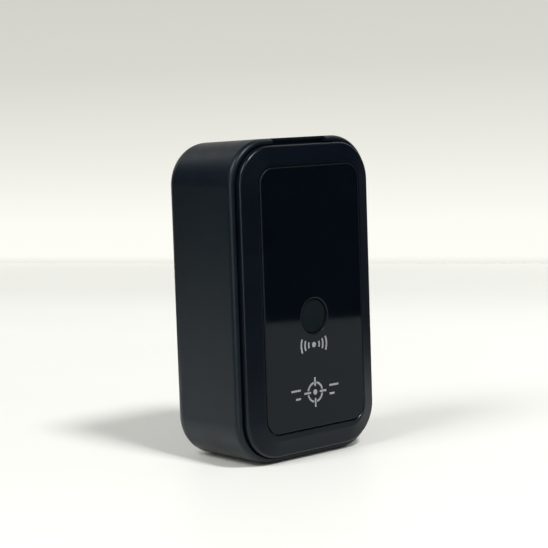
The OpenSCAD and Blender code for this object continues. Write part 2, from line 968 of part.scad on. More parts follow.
module battery_socket() {
    w = socket_w - 2 * socket_wall;
    h = socket_h - 2 * socket_wall;
    color("#efe9da")
    translate([0, 0, plug_z]) difference() {
        block(
            [-socket_w / 2, board_back_y, -socket_h / 2],
            [socket_w / 2, board_back_y + socket_t, socket_h / 2]
        );
        block(
            [-w / 2, board_back_y + socket_floor, -h / 2],
            [w / 2, board_back_y + socket_t + over, h / 2]
        );
    }
}

module magnet(z) {
    r = magnet_d / 2;
    color("#c4c7ca")
    translate([0, 0, z]) turned_y() polygon([
        [0, magnet_y],
        [r, magnet_y],
        [r, magnet_face_y - magnet_bevel],
        [r - magnet_bevel, magnet_face_y],
        [0, magnet_face_y]
    ]);
}

module magnet_upper() {
    magnet(magnet_z[1]);
}

module magnet_lower() {
    magnet(magnet_z[0]);
}

rear_shell();
front_cover();
gloss_panel();
call_button();
button_keeper();
circuit_board();
board_screws();
switch_body();
switch_frame();
switch_plunger();
status_lights();
processor();
small_parts();
modem_shield();
modem_chip();
gps_patch();
gps_patch_plate();
gps_feed_pin();
gsm_antenna();
sim_tray();
sim_contacts();
sim_cover();
sim_card();
usb_shell();
usb_tongue();
microphone();
microphone_boot();
foam_pad();
battery_cell();
battery_cap_board();
battery_tape();
battery_wire_red();
battery_wire_black();
battery_plug();
battery_socket();
magnet_upper();
magnet_lower();
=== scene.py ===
"""Looks of a pocket GPS tracker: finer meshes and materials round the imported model, in metres."""
import json
from math import asin, atan2, cos, hypot, pi, radians, sin, tan

import bmesh
import bpy
from mathutils import Matrix, Vector


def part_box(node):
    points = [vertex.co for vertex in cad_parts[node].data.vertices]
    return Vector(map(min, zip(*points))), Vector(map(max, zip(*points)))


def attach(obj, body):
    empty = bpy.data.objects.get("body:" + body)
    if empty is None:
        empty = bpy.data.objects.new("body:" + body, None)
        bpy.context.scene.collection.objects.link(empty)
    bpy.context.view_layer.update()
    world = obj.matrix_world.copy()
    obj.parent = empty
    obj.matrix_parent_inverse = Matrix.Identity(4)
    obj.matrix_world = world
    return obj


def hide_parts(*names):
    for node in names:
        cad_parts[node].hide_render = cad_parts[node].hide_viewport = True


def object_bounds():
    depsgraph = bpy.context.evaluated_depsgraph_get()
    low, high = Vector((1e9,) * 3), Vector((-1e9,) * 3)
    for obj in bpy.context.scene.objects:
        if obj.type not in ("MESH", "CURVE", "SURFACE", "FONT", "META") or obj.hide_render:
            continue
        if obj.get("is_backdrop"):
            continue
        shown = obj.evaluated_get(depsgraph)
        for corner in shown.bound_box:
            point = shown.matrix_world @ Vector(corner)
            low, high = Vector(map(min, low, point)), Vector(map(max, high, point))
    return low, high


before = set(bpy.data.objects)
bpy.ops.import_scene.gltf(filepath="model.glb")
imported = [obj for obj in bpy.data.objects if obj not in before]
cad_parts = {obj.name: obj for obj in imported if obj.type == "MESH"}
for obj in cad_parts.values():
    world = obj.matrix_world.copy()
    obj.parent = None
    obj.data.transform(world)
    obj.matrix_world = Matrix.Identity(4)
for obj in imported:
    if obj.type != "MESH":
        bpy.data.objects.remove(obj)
CAD_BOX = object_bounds()
MM = 0.001


def mm(*sizes):
    """Sizes in metres, from millimetres."""
    return [size * MM for size in sizes]


# Camera, from the photograph's viewing angle, with its lens and sensor in millimetres
YAW = radians(41.646)
PITCH = radians(5.920)
ROLL = radians(-1.925)
DISTANCE = 238.23 * MM
AIM_RIGHT = 0.674 * MM
AIM_UP = 2.950 * MM
LENS = 109.07
SENSOR = 36.0


def new_object(name, data):
    """An object in the scene for a mesh, a light or a camera."""
    made = bpy.data.objects.new(name, data)
    bpy.context.scene.collection.objects.link(made)
    return made


def direction(bearing, height):
    """The way towards a bearing from +Y and a height above the table."""
    return Vector((sin(bearing) * cos(height), cos(bearing) * cos(height), sin(height)))


def make_camera(aim):
    ahead = direction(YAW, -PITCH)
    right = ahead.cross(Vector((0, 0, 1))).normalized()
    up = right.cross(ahead)
    side = right * cos(ROLL) + up * sin(ROLL)
    top = up * cos(ROLL) - right * sin(ROLL)
    data = bpy.data.cameras.new("camera")
    data.lens = LENS
    data.sensor_width = SENSOR
    data.clip_start = MM
    camera = new_object("camera", data)
    turn = Matrix((side, top, -ahead)).transposed().to_4x4()
    shift = aim - ahead * DISTANCE + side * AIM_RIGHT + top * AIM_UP
    camera.matrix_world = Matrix.Translation(shift) @ turn
    bpy.context.scene.camera = camera


# Sizes of the housing, the cover and the panel that their boxes don't give
CORNER_R = 6.4 * MM
WALL, BACK_WALL = mm(1.7, 1.8)
RIM_W, SHOULDER_W, SHOULDER_D = mm(0.8, 0.6, 0.85)
BACK_EDGE_R = 2.5 * MM
DRAFT = 0.55 * MM
SEAT_D = 0.9 * MM
NOTCH_W, UNDERCUT_D, UNDERCUT_SKIN = mm(10, 0.4, 0.35)
COVER_T, COVER_EDGE_R, SKIRT_T = mm(1.3, 0.45, 1)
COVER_SLOPE, SLOPE_W, SLOPE_BLEND = mm(0.75, 2.5, 0.15)
PANEL_R, PANEL_GAP, PANEL_BEVEL = mm(2.25, 0.13, 0.15)
PANEL_SHIFT = mm(0.05, -0.08)
HOLE_BEVEL = 0.18 * MM
MARK_T = 0.012 * MM
BUTTON_R, BUTTON_GAP = mm(2.4, 0.08)
SMALL_EDGE, FINE_EDGE = mm(0.06, 0.03)
OVER = 0.5 * MM
WELD, PACKED_WELD = mm(0.0005, 0.001)
PACKED_FLAT = radians(1)
LEAST_ROUND = 0.1
# Steps of a large corner and of a small rounding, and of full turns from large to tiny
CORNER_STEPS = 16
EDGE_STEPS = 10
LARGE_STEPS = 96
ROD_STEPS = 64
PAD_STEPS = 40
BORE_STEPS = 32
TINY_STEPS = 24

shell_low, shell_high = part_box("rear_shell")
cover_low, cover_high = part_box("front_cover")
panel_low, panel_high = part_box("gloss_panel")
button_low, button_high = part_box("call_button")
board_low, board_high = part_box("circuit_board")
SHELL_X = shell_high.x
SHELL_H = shell_high.z
MID_Z = SHELL_H / 2
RIM_Y = shell_low.y
BACK_Y = shell_high.y
SEAT_Y = RIM_Y + SEAT_D
INSIDE_BACK_Y = BACK_Y - BACK_WALL
INSIDE_X = SHELL_X - WALL
COVER_Y = cover_low.y
BUTTON_Z = (button_low.z + button_high.z) / 2

make_camera(Vector((0, (RIM_Y + BACK_Y) / 2, MID_Z)))


# Meshes
def corner_loop(half_w, low_z, high_z, radius, y):
    """Points of a rectangle with round corners, in X and Z, at one depth."""
    corners = (
        (half_w - radius, low_z + radius, -90),
        (half_w - radius, high_z - radius, 0),
        (radius - half_w, high_z - radius, 90),
        (radius - half_w, low_z + radius, 180),
    )
    points = []
    for x, z, start in corners:
        for k in range(CORNER_STEPS + 1):
            a = radians(start + 90 * k / CORNER_STEPS)
            points.append((x + radius * cos(a), y, z + radius * sin(a)))
    return points


def centred_loop(half_w, half_h, radius, y, mid_z=MID_Z):
    return corner_loop(half_w, mid_z - half_h, mid_z + half_h, radius, y)


def skin(name, loops, tube=False):
    """A closed mesh through loops of equally many points. A tube joins the last to the first."""
    form = bmesh.new()
    rings = [[form.verts.new(p) for p in loop] for loop in loops]
    count = len(rings[0])
    pairs = list(zip(rings, rings[1:]))
    if tube:
        pairs.append((rings[-1], rings[0]))
    else:
        form.faces.new(rings[0])
        form.faces.new(rings[-1])
    for near, far in pairs:
        for k in range(count):
            n = (k + 1) % count
            form.faces.new((near[k], near[n], far[n], far[k]))
    return solid(name, form)


def object_of(name, form):
    """An object from a bmesh, which is freed."""
    mesh = bpy.data.meshes.new(name)
    form.to_mesh(mesh)
    form.free()
    return new_object(name, mesh)


def solid(name, form):
    """An object from a bmesh, with its faces turned outwards."""
    bmesh.ops.recalc_face_normals(form, faces=form.faces)
    return object_of(name, form)


def full_turn(steps):
    """Angles of a full turn."""
    return [2 * pi * k / steps for k in range(steps)]


def turned(name, profile, z=0.0, x=0.0, steps=LARGE_STEPS):
    """A shape turned about Y through (x, z), from a profile of (radius, y) between two poles."""
    form = bmesh.new()
    rings = []
    for radius, y in profile:
        turns = full_turn(steps) if radius else [0]
        rings.append([form.verts.new((x + radius * cos(a), y, z + radius * sin(a))) for a in turns])
    for near, far in zip(rings, rings[1:]):
        for k in range(steps):
            n = (k + 1) % steps
            if len(near) == 1:
                form.faces.new((near[0], far[n], far[k]))
            elif len(far) == 1:
                form.faces.new((near[k], near[n], far[0]))
            else:
                form.faces.new((near[k], near[n], far[n], far[k]))
    return solid(name, form)


def rod(name, radius, y0, y1, x=0.0, z=0.0, steps=ROD_STEPS):
    return turned(name, [(0, y0), (radius, y0), (radius, y1), (0, y1)], z, x, steps)


def block(name, low, high):
    form = bmesh.new()
    bmesh.ops.create_cube(form, size=1)
    size = Vector(high) - Vector(low)
    middle = (Vector(high) + Vector(low)) / 2
    for v in form.verts:
        v.co = Vector(a * b for a, b in zip(v.co, size)) + middle
    return solid(name, form)


def prism(name, outline, start, end, upright=False):
    """A prism along Y over an outline in X and Z, or along Z over one in X and Y."""
    loops = []
    for side in (start, end):
        loops.append([(a, b, side) if upright else (a, side, b) for a, b in outline])
    return skin(name, loops)


def quarter(steps=EDGE_STEPS):
    """Angles of a quarter turn, from 0 to 90 degrees."""
    return [pi / 2 * k / steps for k in range(steps + 1)]


def rounding(radius, steps=EDGE_STEPS):
    """Points of a rounded edge, as insets from the two faces that it joins."""
    return [(radius * (1 - sin(a)), radius * (1 - cos(a))) for a in quarter(steps)]


def joined(name, pieces):
    """One object that holds the meshes of several."""
    form = bmesh.new()
    for piece in pieces:
        form.from_mesh(piece.data)
        bpy.data.objects.remove(piece)
    return solid(name, form)


def apply_modifiers(piece):
    graph = bpy.context.evaluated_depsgraph_get()
    mesh = bpy.data.meshes.new_from_object(piece.evaluated_get(graph))
    piece.modifiers.clear()
    piece.data = mesh


def weld(piece):
    """Joins points that lie on each other, and drops faces without area."""
    form = bmesh.new()
    form.from_mesh(piece.data)
    bmesh.ops.remove_doubles(form, verts=form.verts, dist=WELD)
    bmesh.ops.dissolve_degenerate(form, dist=WELD, edges=form.edges)
    form.to_mesh(piece.data)
    form.free()


def combine(piece, tool, operation="DIFFERENCE"):
    """Cuts a tool's solid out of a piece, or adds it to the piece."""
    change = piece.modifiers.new("combine", "BOOLEAN")
    change.operation = operation
    change.solver = "EXACT"
    change.object = tool
    apply_modifiers(piece)
    bpy.data.objects.remove(tool)
    weld(piece)


def soften_edges(piece, width, angle=40):
    """Rounds every sharp edge a little, as a mould does."""
    edges = piece.modifiers.new("edges", "BEVEL")
    edges.width = width
    edges.segments = 2
    edges.limit_method = "ANGLE"
    edges.angle_limit = radians(angle)
    edges.use_clamp_overlap = True
    apply_modifiers(piece)
    weld(piece)


def smooth(piece, angle=35):
    """Smooth shading with sharp edges kept, in which a large flat face stays flat."""
    piece.data.shade_smooth()
    piece.data.set_sharp_from_angle(angle=radians(angle))
    weigh = piece.modifiers.new("normals", "WEIGHTED_NORMAL")
    weigh.weight = 100
    weigh.keep_sharp = True
    apply_modifiers(piece)


def cushion(name, low, high, corner_r, edge_r, steps=4):
    """A block on the board with round corners and a round front edge."""
    x, z = (low[0] + high[0]) / 2, (low[2] + high[2]) / 2
    half_w, half_h = (high[0] - low[0]) / 2, (high[2] - low[2]) / 2
    loops = [centred_loop(half_w, half_h, corner_r, high[1], z)]
    for sink, inset in rounding(edge_r, steps):
        radius = max(corner_r - inset, LEAST_ROUND * corner_r)
        loops.append(centred_loop(half_w - inset, half_h - inset, radius, low[1] + sink, z))
    piece = skin(name, loops)
    piece.data.transform(Matrix.Translation((x, 0, 0)))
    return piece


def refined(node, width):
    """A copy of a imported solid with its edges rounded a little."""
    packed = bpy.data.objects[node].data
    form = bmesh.new()
    points = [form.verts.new(v.co) for v in packed.vertices]
    for face in packed.polygons:
        form.faces.new([points[i] for i in face.vertices])
    bmesh.ops.remove_doubles(form, verts=form.verts, dist=PACKED_WELD)
    bmesh.ops.dissolve_limit(form, angle_limit=PACKED_FLAT, verts=form.verts, edges=form.edges)
    piece = solid(node + "_fine", form)
    soften_edges(piece, width)
    smooth(piece)
    return piece


def place(piece, material, slot, replaces=(), body="case"):
    """Gives a piece its material, the body it rides on and the nodes it stands for. Its slot is not
    used.
    """
    piece.data.materials.clear()
    piece.data.materials.append(material)
    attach(piece, body)
    if replaces:
        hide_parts(*replaces)


# Materials
def new_material(name):
    material = bpy.data.materials.new(name)
    material.use_nodes = True
    return material.node_tree, material.node_tree.nodes["Principled BSDF"], material


def set_inputs(tree, node, entries):
    """Gives a node's inputs their values, or links them to the outputs of other nodes."""
    for name, entry in entries.items():
        if isinstance(entry, bpy.types.NodeSocket):
            tree.links.new(entry, node.inputs[name])
        else:
            node.inputs[name].default_value = entry


def new_node(tree, kind, entries):
    made = tree.nodes.new(kind)
    set_inputs(tree, made, entries)
    return made


def object_point(tree, entries):
    """The place of a point in its object, through a mapping node that turns or scales it."""
    source = tree.nodes.new("ShaderNodeTexCoord").outputs["Object"]
    return new_node(tree, "ShaderNodeMapping", {"Vector": source, **entries}).outputs["Vector"]


def noise(tree, size, detail=3.0, stretch=(1, 1, 1)):
    """Noise fixed to the object, with blobs of about one size in metres."""
    point = object_point(tree, {"Scale": [s / size for s in stretch]})
    entries = {"Vector": point, "Scale": 1.0, "Detail": detail}
    return new_node(tree, "ShaderNodeTexNoise", entries).outputs["Fac"]


def spread(tree, value, low, high, start=0.3, end=0.7):
    """Maps a texture's value to a range of numbers."""
    limits = {"From Min": start, "From Max": end, "To Min": low, "To Max": high}
    return new_node(tree, "ShaderNodeMapRange", {"Value": value, **limits}).outputs["Result"]


def combined(tree, operation, first, second):
    """Two values put together by a math operation."""
    node = new_node(tree, "ShaderNodeMath", {0: first, 1: second})
    node.operation = operation
    return node.outputs["Value"]


def blend_colors(tree, value, first, second):
    """Goes with a value from one colour, or colour output, to another."""
    node = tree.nodes.new("ShaderNodeMix")
    node.data_type = "RGBA"
    set_inputs(tree, node, {"Factor": value})
    entries = [s for s in node.inputs if s.type == "RGBA"]
    for entry, color in zip(entries, (first, second)):
        if isinstance(color, tuple):
            entry.default_value = (*color, 1)
        else:
            tree.links.new(color, entry)
    return [s for s in node.outputs if s.type == "RGBA"][0]


def add_bump(tree, shader, height, distance, strength=1.0):
    entries = {"Height": height, "Strength": strength, "Distance": distance}
    bump = new_node(tree, "ShaderNodeBump", entries)
    set_inputs(tree, shader, {"Normal": bump.outputs["Normal"]})


def toned(color, level):
    return tuple(c * level for c in color)


# A plastic's cool sheen, the range of its colour's drift, and the sizes of drift and rub marks
COOL = (0.80, 0.93, 1.0)
DRIFT_DARK, DRIFT_LIGHT = 0.88, 1.18
DRIFT_SIZE = 7 * MM
RUB_SIZE = 2.2 * MM
# A metal's tarnish with the size of its clouds, and the scale of drawn lines along themselves
TARNISH = 0.86
TARNISH_SIZE = 2.5 * MM
DRAWN = 0.04
# A board's tracks are the joints between long bricks, in two sizes that cross, with bare patches
TRACK_STEPS = (0.9 * MM, 0.9 * 1.37 * MM)
TRACKS = {"Mortar Size": 0.055, "Mortar Smooth": 0.1, "Brick Width": 3.4, "Row Height": 0.55}
TRACK_RELIEF = 0.02 * MM
BARE_SIZE = 5 * MM
BARE_RANGE = (0.42, 0.5)
MASK_GLOSS = (0.22, 0.36)


def plastic(name, color, roughness, vary=0.05, grain=0.14, relief=0.002, shine=0.5):
    """Moulded plastic: a colour that drifts a little, rub marks in its gloss, and a fine grain."""
    tree, shader, material = new_material(name)
    drift = spread(tree, noise(tree, DRIFT_SIZE), 0, 1)
    drifted = blend_colors(tree, drift, toned(color, DRIFT_DARK), toned(color, DRIFT_LIGHT))
    rub = spread(tree, noise(tree, RUB_SIZE, 5), roughness - vary, roughness + vary)
    gloss = {"Roughness": rub, "Specular IOR Level": shine, "Specular Tint": (*COOL, 1)}
    set_inputs(tree, shader, {"Base Color": drifted, **gloss})
    add_bump(tree, shader, noise(tree, grain * MM, 2), relief * MM)
    return material


def metal(name, color, roughness, vary=0.08, grain=0.05, relief=0.0006, along=""):
    """Sheet or plated metal with cloudy tarnish, and fine grain or lines drawn along an axis."""
    tree, shader, material = new_material(name)
    cloud = spread(tree, noise(tree, TARNISH_SIZE, 4), 0, 1)
    tarnished = blend_colors(tree, cloud, toned(color, TARNISH), color)
    lines = noise(tree, grain * MM, 2, [DRAWN if axis == along else 1 for axis in "xyz"])
    gloss = spread(tree, lines, roughness - vary, roughness + vary)
    set_inputs(tree, shader, {"Metallic": 1.0, "Base Color": tarnished, "Roughness": gloss})
    add_bump(tree, shader, lines, relief * MM)
    return material


def solder_mask(name, mask, track):
    """Printed circuit board: a glossy mask over the pale lines of its tracks and small pads."""
    tree, shader, material = new_material(name)
    rows = []
    for turn, size in zip((0, 90), TRACK_STEPS):
        point = object_point(tree, {"Rotation": (radians(90), 0, radians(turn))})
        entries = {"Vector": point, "Scale": 1 / size, **TRACKS}
        rows.append(new_node(tree, "ShaderNodeTexBrick", entries).outputs["Fac"])
    patch = spread(tree, noise(tree, BARE_SIZE, 1), 0, 1, *BARE_RANGE)
    lines = combined(tree, "MULTIPLY", combined(tree, "MAXIMUM", *rows), patch)
    color = blend_colors(tree, lines, mask, track)
    gloss = spread(tree, noise(tree, MM), *MASK_GLOSS)
    set_inputs(tree, shader, {"Base Color": color, "Roughness": gloss})
    add_bump(tree, shader, lines, TRACK_RELIEF, 0.6)
    return material


COVER_COLOR = (0.0015, 0.0028, 0.0056)
# Each has its colour, its roughness with the range of it, and its grain and relief in millimetres
housing_black = plastic("housing_black", (0.0030, 0.0055, 0.0086), 0.38, 0.04, shine=0.28)
cover_black = plastic("cover_black", COVER_COLOR, 0.335, 0.03, shine=0.185)
cover_edge = plastic("cover_edge", COVER_COLOR, 0.31, 0.03, shine=0.30)
gloss_black = plastic("gloss_black", (0.0012, 0.0022, 0.0038), 0.05, 0.01, 3, 0.0002, 0.2)
# The panel's edges are matte and lighter in colour than its face; the lighter colour is painted
# highlight, for the light line along their top edge and the light ring round the button's hole
gloss_edge_painted_highlight = plastic("gloss_edge_painted_highlight", (0.008, 0.009, 0.011), 0.36, 0.04, 0.1, 0.001, 0.14)
button_black = plastic("button_black", (0.0035, 0.0060, 0.0080), 0.40, 0.05, 0.1, 0.003, 0.08)
keeper_grey = plastic("keeper_grey", (0.05, 0.05, 0.053), 0.5)
print_grey = plastic("print_grey", (0.24, 0.245, 0.255), 0.5, 0.05, 0.05, 0.001)
board_green = solder_mask("board_green", (0.006, 0.075, 0.030), (0.020, 0.16, 0.060))
silk_white = plastic("silk_white", (0.72, 0.72, 0.68), 0.6, 0.05, 0.04)
nickel = metal("nickel", (0.70, 0.69, 0.66), 0.16, 0.07)
tin = metal("tin", (0.66, 0.66, 0.64), 0.30, 0.12)
sheet_metal = metal("sheet_metal", (0.60, 0.61, 0.61), 0.33, 0.05, 0.04, 0.00012, "z")
screw_steel = metal("screw_steel", (0.48, 0.48, 0.47), 0.27, 0.10)
gold = metal("gold", (0.86, 0.62, 0.28), 0.22)
silver_paste = metal("silver_paste", (0.80, 0.79, 0.75), 0.42, 0.10)
copper = metal("copper", (0.72, 0.36, 0.20), 0.32, 0.06, 0.05, 0.0002, "z")
foil = metal("foil", (0.62, 0.63, 0.65), 0.38, 0.12, 1.2, 0.03)
moulding_black = plastic("moulding_black", (0.012, 0.012, 0.013), 0.45, 0.07, 0.08)
moulding_ivory = plastic("moulding_ivory", (0.66, 0.61, 0.48), 0.45)
chip_black = plastic("chip_black", (0.016, 0.016, 0.018), 0.62, 0.08, 0.05, 0.004)
light_white = plastic("light_white", (0.74, 0.74, 0.70), 0.30)
light_amber = plastic("light_amber", (0.80, 0.52, 0.10), 0.15)
part_tan = plastic("part_tan", (0.30, 0.20, 0.12), 0.40, 0.06, 0.05)
part_dark = plastic("part_dark", (0.020, 0.021, 0.024), 0.38, 0.06, 0.05)
ferrite = plastic("ferrite", (0.055, 0.055, 0.058), 0.55, 0.08, 0.06, 0.006)
ceramic_tan = plastic("ceramic_tan", (0.50, 0.40, 0.27), 0.48, 0.08, 0.10, 0.003)
card_white = plastic("card_white", (0.74, 0.75, 0.76), 0.38, 0.05)
rubber = plastic("rubber", (0.018, 0.018, 0.019), 0.72, 0.08, 0.10, 0.006)
foam_grey = plastic("foam_grey", (0.07, 0.07, 0.075), 0.92, 0.04, 0.25, 0.06, 0.1)
amber_film = plastic("amber_film", (0.50, 0.19, 0.015), 0.20, 0.05, 0.8, 0.004)
wire_red = plastic("wire_red", (0.50, 0.015, 0.012), 0.40)
wire_black = plastic("wire_black", (0.012, 0.012, 0.012), 0.40)


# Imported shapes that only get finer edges: the edges' width in millimetres, material, slot and body
FINE_PIECES = {
    "switch_body": (0.06, moulding_black, "black_moulding", "case"),
    "switch_frame": (0.05, sheet_metal, "sheet_steel", "case"),
    "switch_plunger": (0.06, moulding_ivory, "ivory_moulding", "plunger"),
    "usb_shell": (0.08, sheet_metal, "plated_steel", "case"),
    "usb_tongue": (0.06, moulding_black, "black_moulding", "case"),
    "sim_tray": (0.05, moulding_black, "black_moulding", "case"),
    "sim_cover": (0.04, sheet_metal, "sheet_steel", "case"),
    "sim_card": (0.06, card_white, "card_plastic", "sim"),
    "sim_contacts": (0.01, gold, "gold_plate", "case"),
    "microphone": (0.08, sheet_metal, "silver_plate", "case"),
    "microphone_boot": (0.12, rubber, "soft_rubber", "case"),
    "button_keeper": (0.06, keeper_grey, "keeper_plastic", "cover"),
    "board_screws": (0.05, screw_steel, "plated_steel", "case"),
    "battery_plug": (0.1, moulding_ivory, "ivory_moulding", "case"),
    "battery_socket": (0.1, moulding_ivory, "ivory_moulding", "case"),
}


def refine(*nodes):
    """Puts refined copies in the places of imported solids."""
    for node in nodes:
        width, material, slot, body = FINE_PIECES[node]
        place(refined(node, width * MM), material, slot, [node], body)


# Housing
def shell_loop(inset, y):
    """The housing's outline: flat below, so that it stands, and leaning in on its other sides."""
    lean = DRAFT * max(0.0, y - RIM_Y - SHOULDER_D) / (BACK_Y - RIM_Y - SHOULDER_D)
    half_w, high, radius = (size - inset - lean for size in (SHELL_X, SHELL_H, CORNER_R))
    return corner_loop(half_w, inset, high, radius, y)


def inner_loop(inset, y):
    return centred_loop(SHELL_X - inset, MID_Z - inset, CORNER_R - inset, y)


SCREW_X = board_high.x - 2.9 * MM
SCREW_Z = (board_low.z + 2.1 * MM, board_high.z - 2.1 * MM)
SCREW_PLACES = [(side * SCREW_X, z) for side in (-1, 1) for z in SCREW_Z]
BOARD_Y = board_low.y
BOARD_BACK_Y = board_high.y
BOSS_R, PILOT_R = mm(1.7, 0.75)
PILOT_Y = BOARD_Y + 5.5 * MM
MAGNETS = {name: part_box(name) for name in ("magnet_lower", "magnet_upper")}
MAGNET_GAP, MAGNET_FLOOR, PAD_WALL = mm(0.08, 0.8, 1)
HOOK_W, HOOK_T, HOOK_GAP = mm(4, 0.75, 0.1)
BARB_H, BARB_L, CHANNEL_D = mm(0.35, 0.9, 0.45)
HOOK_UP_SHARE = 0.76
HOOK_ACROSS_SHARE = 0.27
tray_low, tray_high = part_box("sim_tray")
HOOK_Y = cover_high.y
HOOK_Z = (tray_high.z + HOOK_W / 2 + 0.6 * MM, SHELL_H * HOOK_UP_SHARE)
HOOK_X = HOOK_ACROSS_SHARE * cover_high.x
usb_low, usb_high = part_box("usb_shell")
USB_CLEAR, USB_CHAMFER = mm(0.2, 0.7)
mic_low, mic_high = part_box("microphone")
MIC_PORT_R = 0.5 * MM
# The heights of a cut through the top wall
TOP_LOW, TOP_HIGH = SHELL_H - WALL - OVER, SHELL_H + OVER


def hook_turns():
    """Where each snap hook stands, as the turn and shift that take it there from the +X wall."""
    for sx in (1, -1):
        for z in HOOK_Z:
            yield Matrix.Translation((sx * INSIDE_X, 0, z)) @ Matrix.Diagonal((sx, 1, 1, 1))
    for sx in (1, -1):
        yield Matrix.Translation((sx * HOOK_X, 0, WALL)) @ Matrix.Rotation(radians(90), 4, "Y")


def usb_outline(grow):
    """Outline of the charging socket's mouth in X and Y, grown by a gap."""
    x = usb_high.x + grow
    front, back = usb_low.y - grow, usb_high.y + grow
    c = USB_CHAMFER + grow / 2
    return [(-x, back), (x, back), (x, front + c), (x - c, front), (c - x, front), (-x, front + c)]


def make_housing():
    lip = SMALL_EDGE
    loops = [shell_loop(inset, BACK_Y - rise) for inset, rise in rounding(BACK_EDGE_R)]
    for sink, inset in rounding(1):
        loops.append(shell_loop(SHOULDER_W * inset, RIM_Y + SHOULDER_D * sink))
    inside = [(RIM_W - lip, RIM_Y), (RIM_W, RIM_Y + lip), (RIM_W, SEAT_Y)]
    inside += [(WALL - lip, SEAT_Y), (WALL, SEAT_Y + lip)]
    inside += [(WALL + inset, INSIDE_BACK_Y - rise) for rise, inset in rounding(lip, 3)]
    loops += [inner_loop(inset, y) for inset, y in inside]
    shell = skin("housing", loops)
    stands, cuts = [], []
    for x, z in SCREW_PLACES:
        stands.append(rod("boss", BOSS_R, BOARD_BACK_Y, INSIDE_BACK_Y + OVER, x, z))
        cuts.append(rod("pilot", PILOT_R, BOARD_BACK_Y - OVER, PILOT_Y, x, z, BORE_STEPS))
    for low, high in MAGNETS.values():
        z = (low.z + high.z) / 2
        pad_y = low.y - MAGNET_FLOOR
        stands.append(rod("pad", high.x + PAD_WALL, pad_y, INSIDE_BACK_Y + OVER, 0, z))
        cuts.append(rod("pocket", high.x + MAGNET_GAP, low.y, BACK_Y + OVER, 0, z))
    combine(shell, joined("stands", stands), "UNION")
    half = HOOK_W / 2 + HOOK_GAP
    low, high = (-OVER, SEAT_Y - OVER, -half), (CHANNEL_D, HOOK_Y + HOOK_GAP, half)
    for turn in hook_turns():
        channel = block("channel", low, high)
        channel.data.transform(turn)
        cuts.append(channel)
    cuts.append(prism("port", usb_outline(USB_CLEAR), TOP_LOW, TOP_HIGH, upright=True))
    port = rod("sound_port", MIC_PORT_R, -OVER, WALL + OVER, steps=BORE_STEPS)
    port.data.transform(
        Matrix.Translation((INSIDE_X, (mic_low.y + mic_high.y) / 2, (mic_low.z + mic_high.z) / 2))
        @ Matrix.Rotation(radians(-90), 4, "Z")
    )
    cuts.append(port)
    combine(shell, joined("cuts", cuts))
    half = NOTCH_W / 2
    notch = block("notch", (-half, RIM_Y - OVER, TOP_LOW), (half, SEAT_Y, TOP_HIGH))
    combine(shell, notch)
    deepest = (half, SEAT_Y + UNDERCUT_D, SHELL_H - UNDERCUT_SKIN)
    combine(shell, block("undercut", (-half, SEAT_Y - OVER, TOP_LOW), deepest))
    smooth(shell)
    place(shell, housing_black, "housing_plastic", ["rear_shell"])


# Front cover
HOLE_R = BUTTON_R + BUTTON_GAP
ROOT_Y = COVER_Y + COVER_T / 2
PLATE_Y = COVER_Y + COVER_T
SKIRT_Y = SEAT_Y - 0.05 * MM
PANEL_Y = panel_low.y
PANEL_BACK_Y = panel_high.y
GUIDE_R, GUIDE_OUT_R = mm(3.35, 4.45)
keeper_low, keeper_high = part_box("button_keeper")
KEEPER_R = keeper_high.x + 0.05 * MM
RIB_X, RIB_W, RIB_H = mm(6.5, 0.8, 0.8)
RIB_LOW = cover_low.z + 3.2 * MM
RIB_HIGH = cover_low.z + 11 * MM
# The cover's outer rounding lies beyond this part of its half sizes, turned further than this
EDGE_OUT = 0.8
EDGE_TURN = -0.93
# Faces of the panel that look less to its front or back than this belong to its edges
FLAT_ENOUGH = 0.995


def cover_loop(inset, y):
    radius = CORNER_R - (SHELL_X - cover_high.x) - inset
    return centred_loop(cover_high.x - inset, cover_high.z - MID_Z - inset, radius, y)


def panel_loop(grow, y):
    mid_z = (panel_low.z + panel_high.z) / 2
    return centred_loop(panel_high.x + grow, panel_high.z - mid_z + grow, PANEL_R + grow, y, mid_z)


def cut_button_hole(piece, profile):
    """Cuts the button's hole, from a profile of (radius, y)."""
    profile = [(0, profile[0][1]), *profile, (0, profile[-1][1])]
    combine(piece, turned("hole", profile, BUTTON_Z))


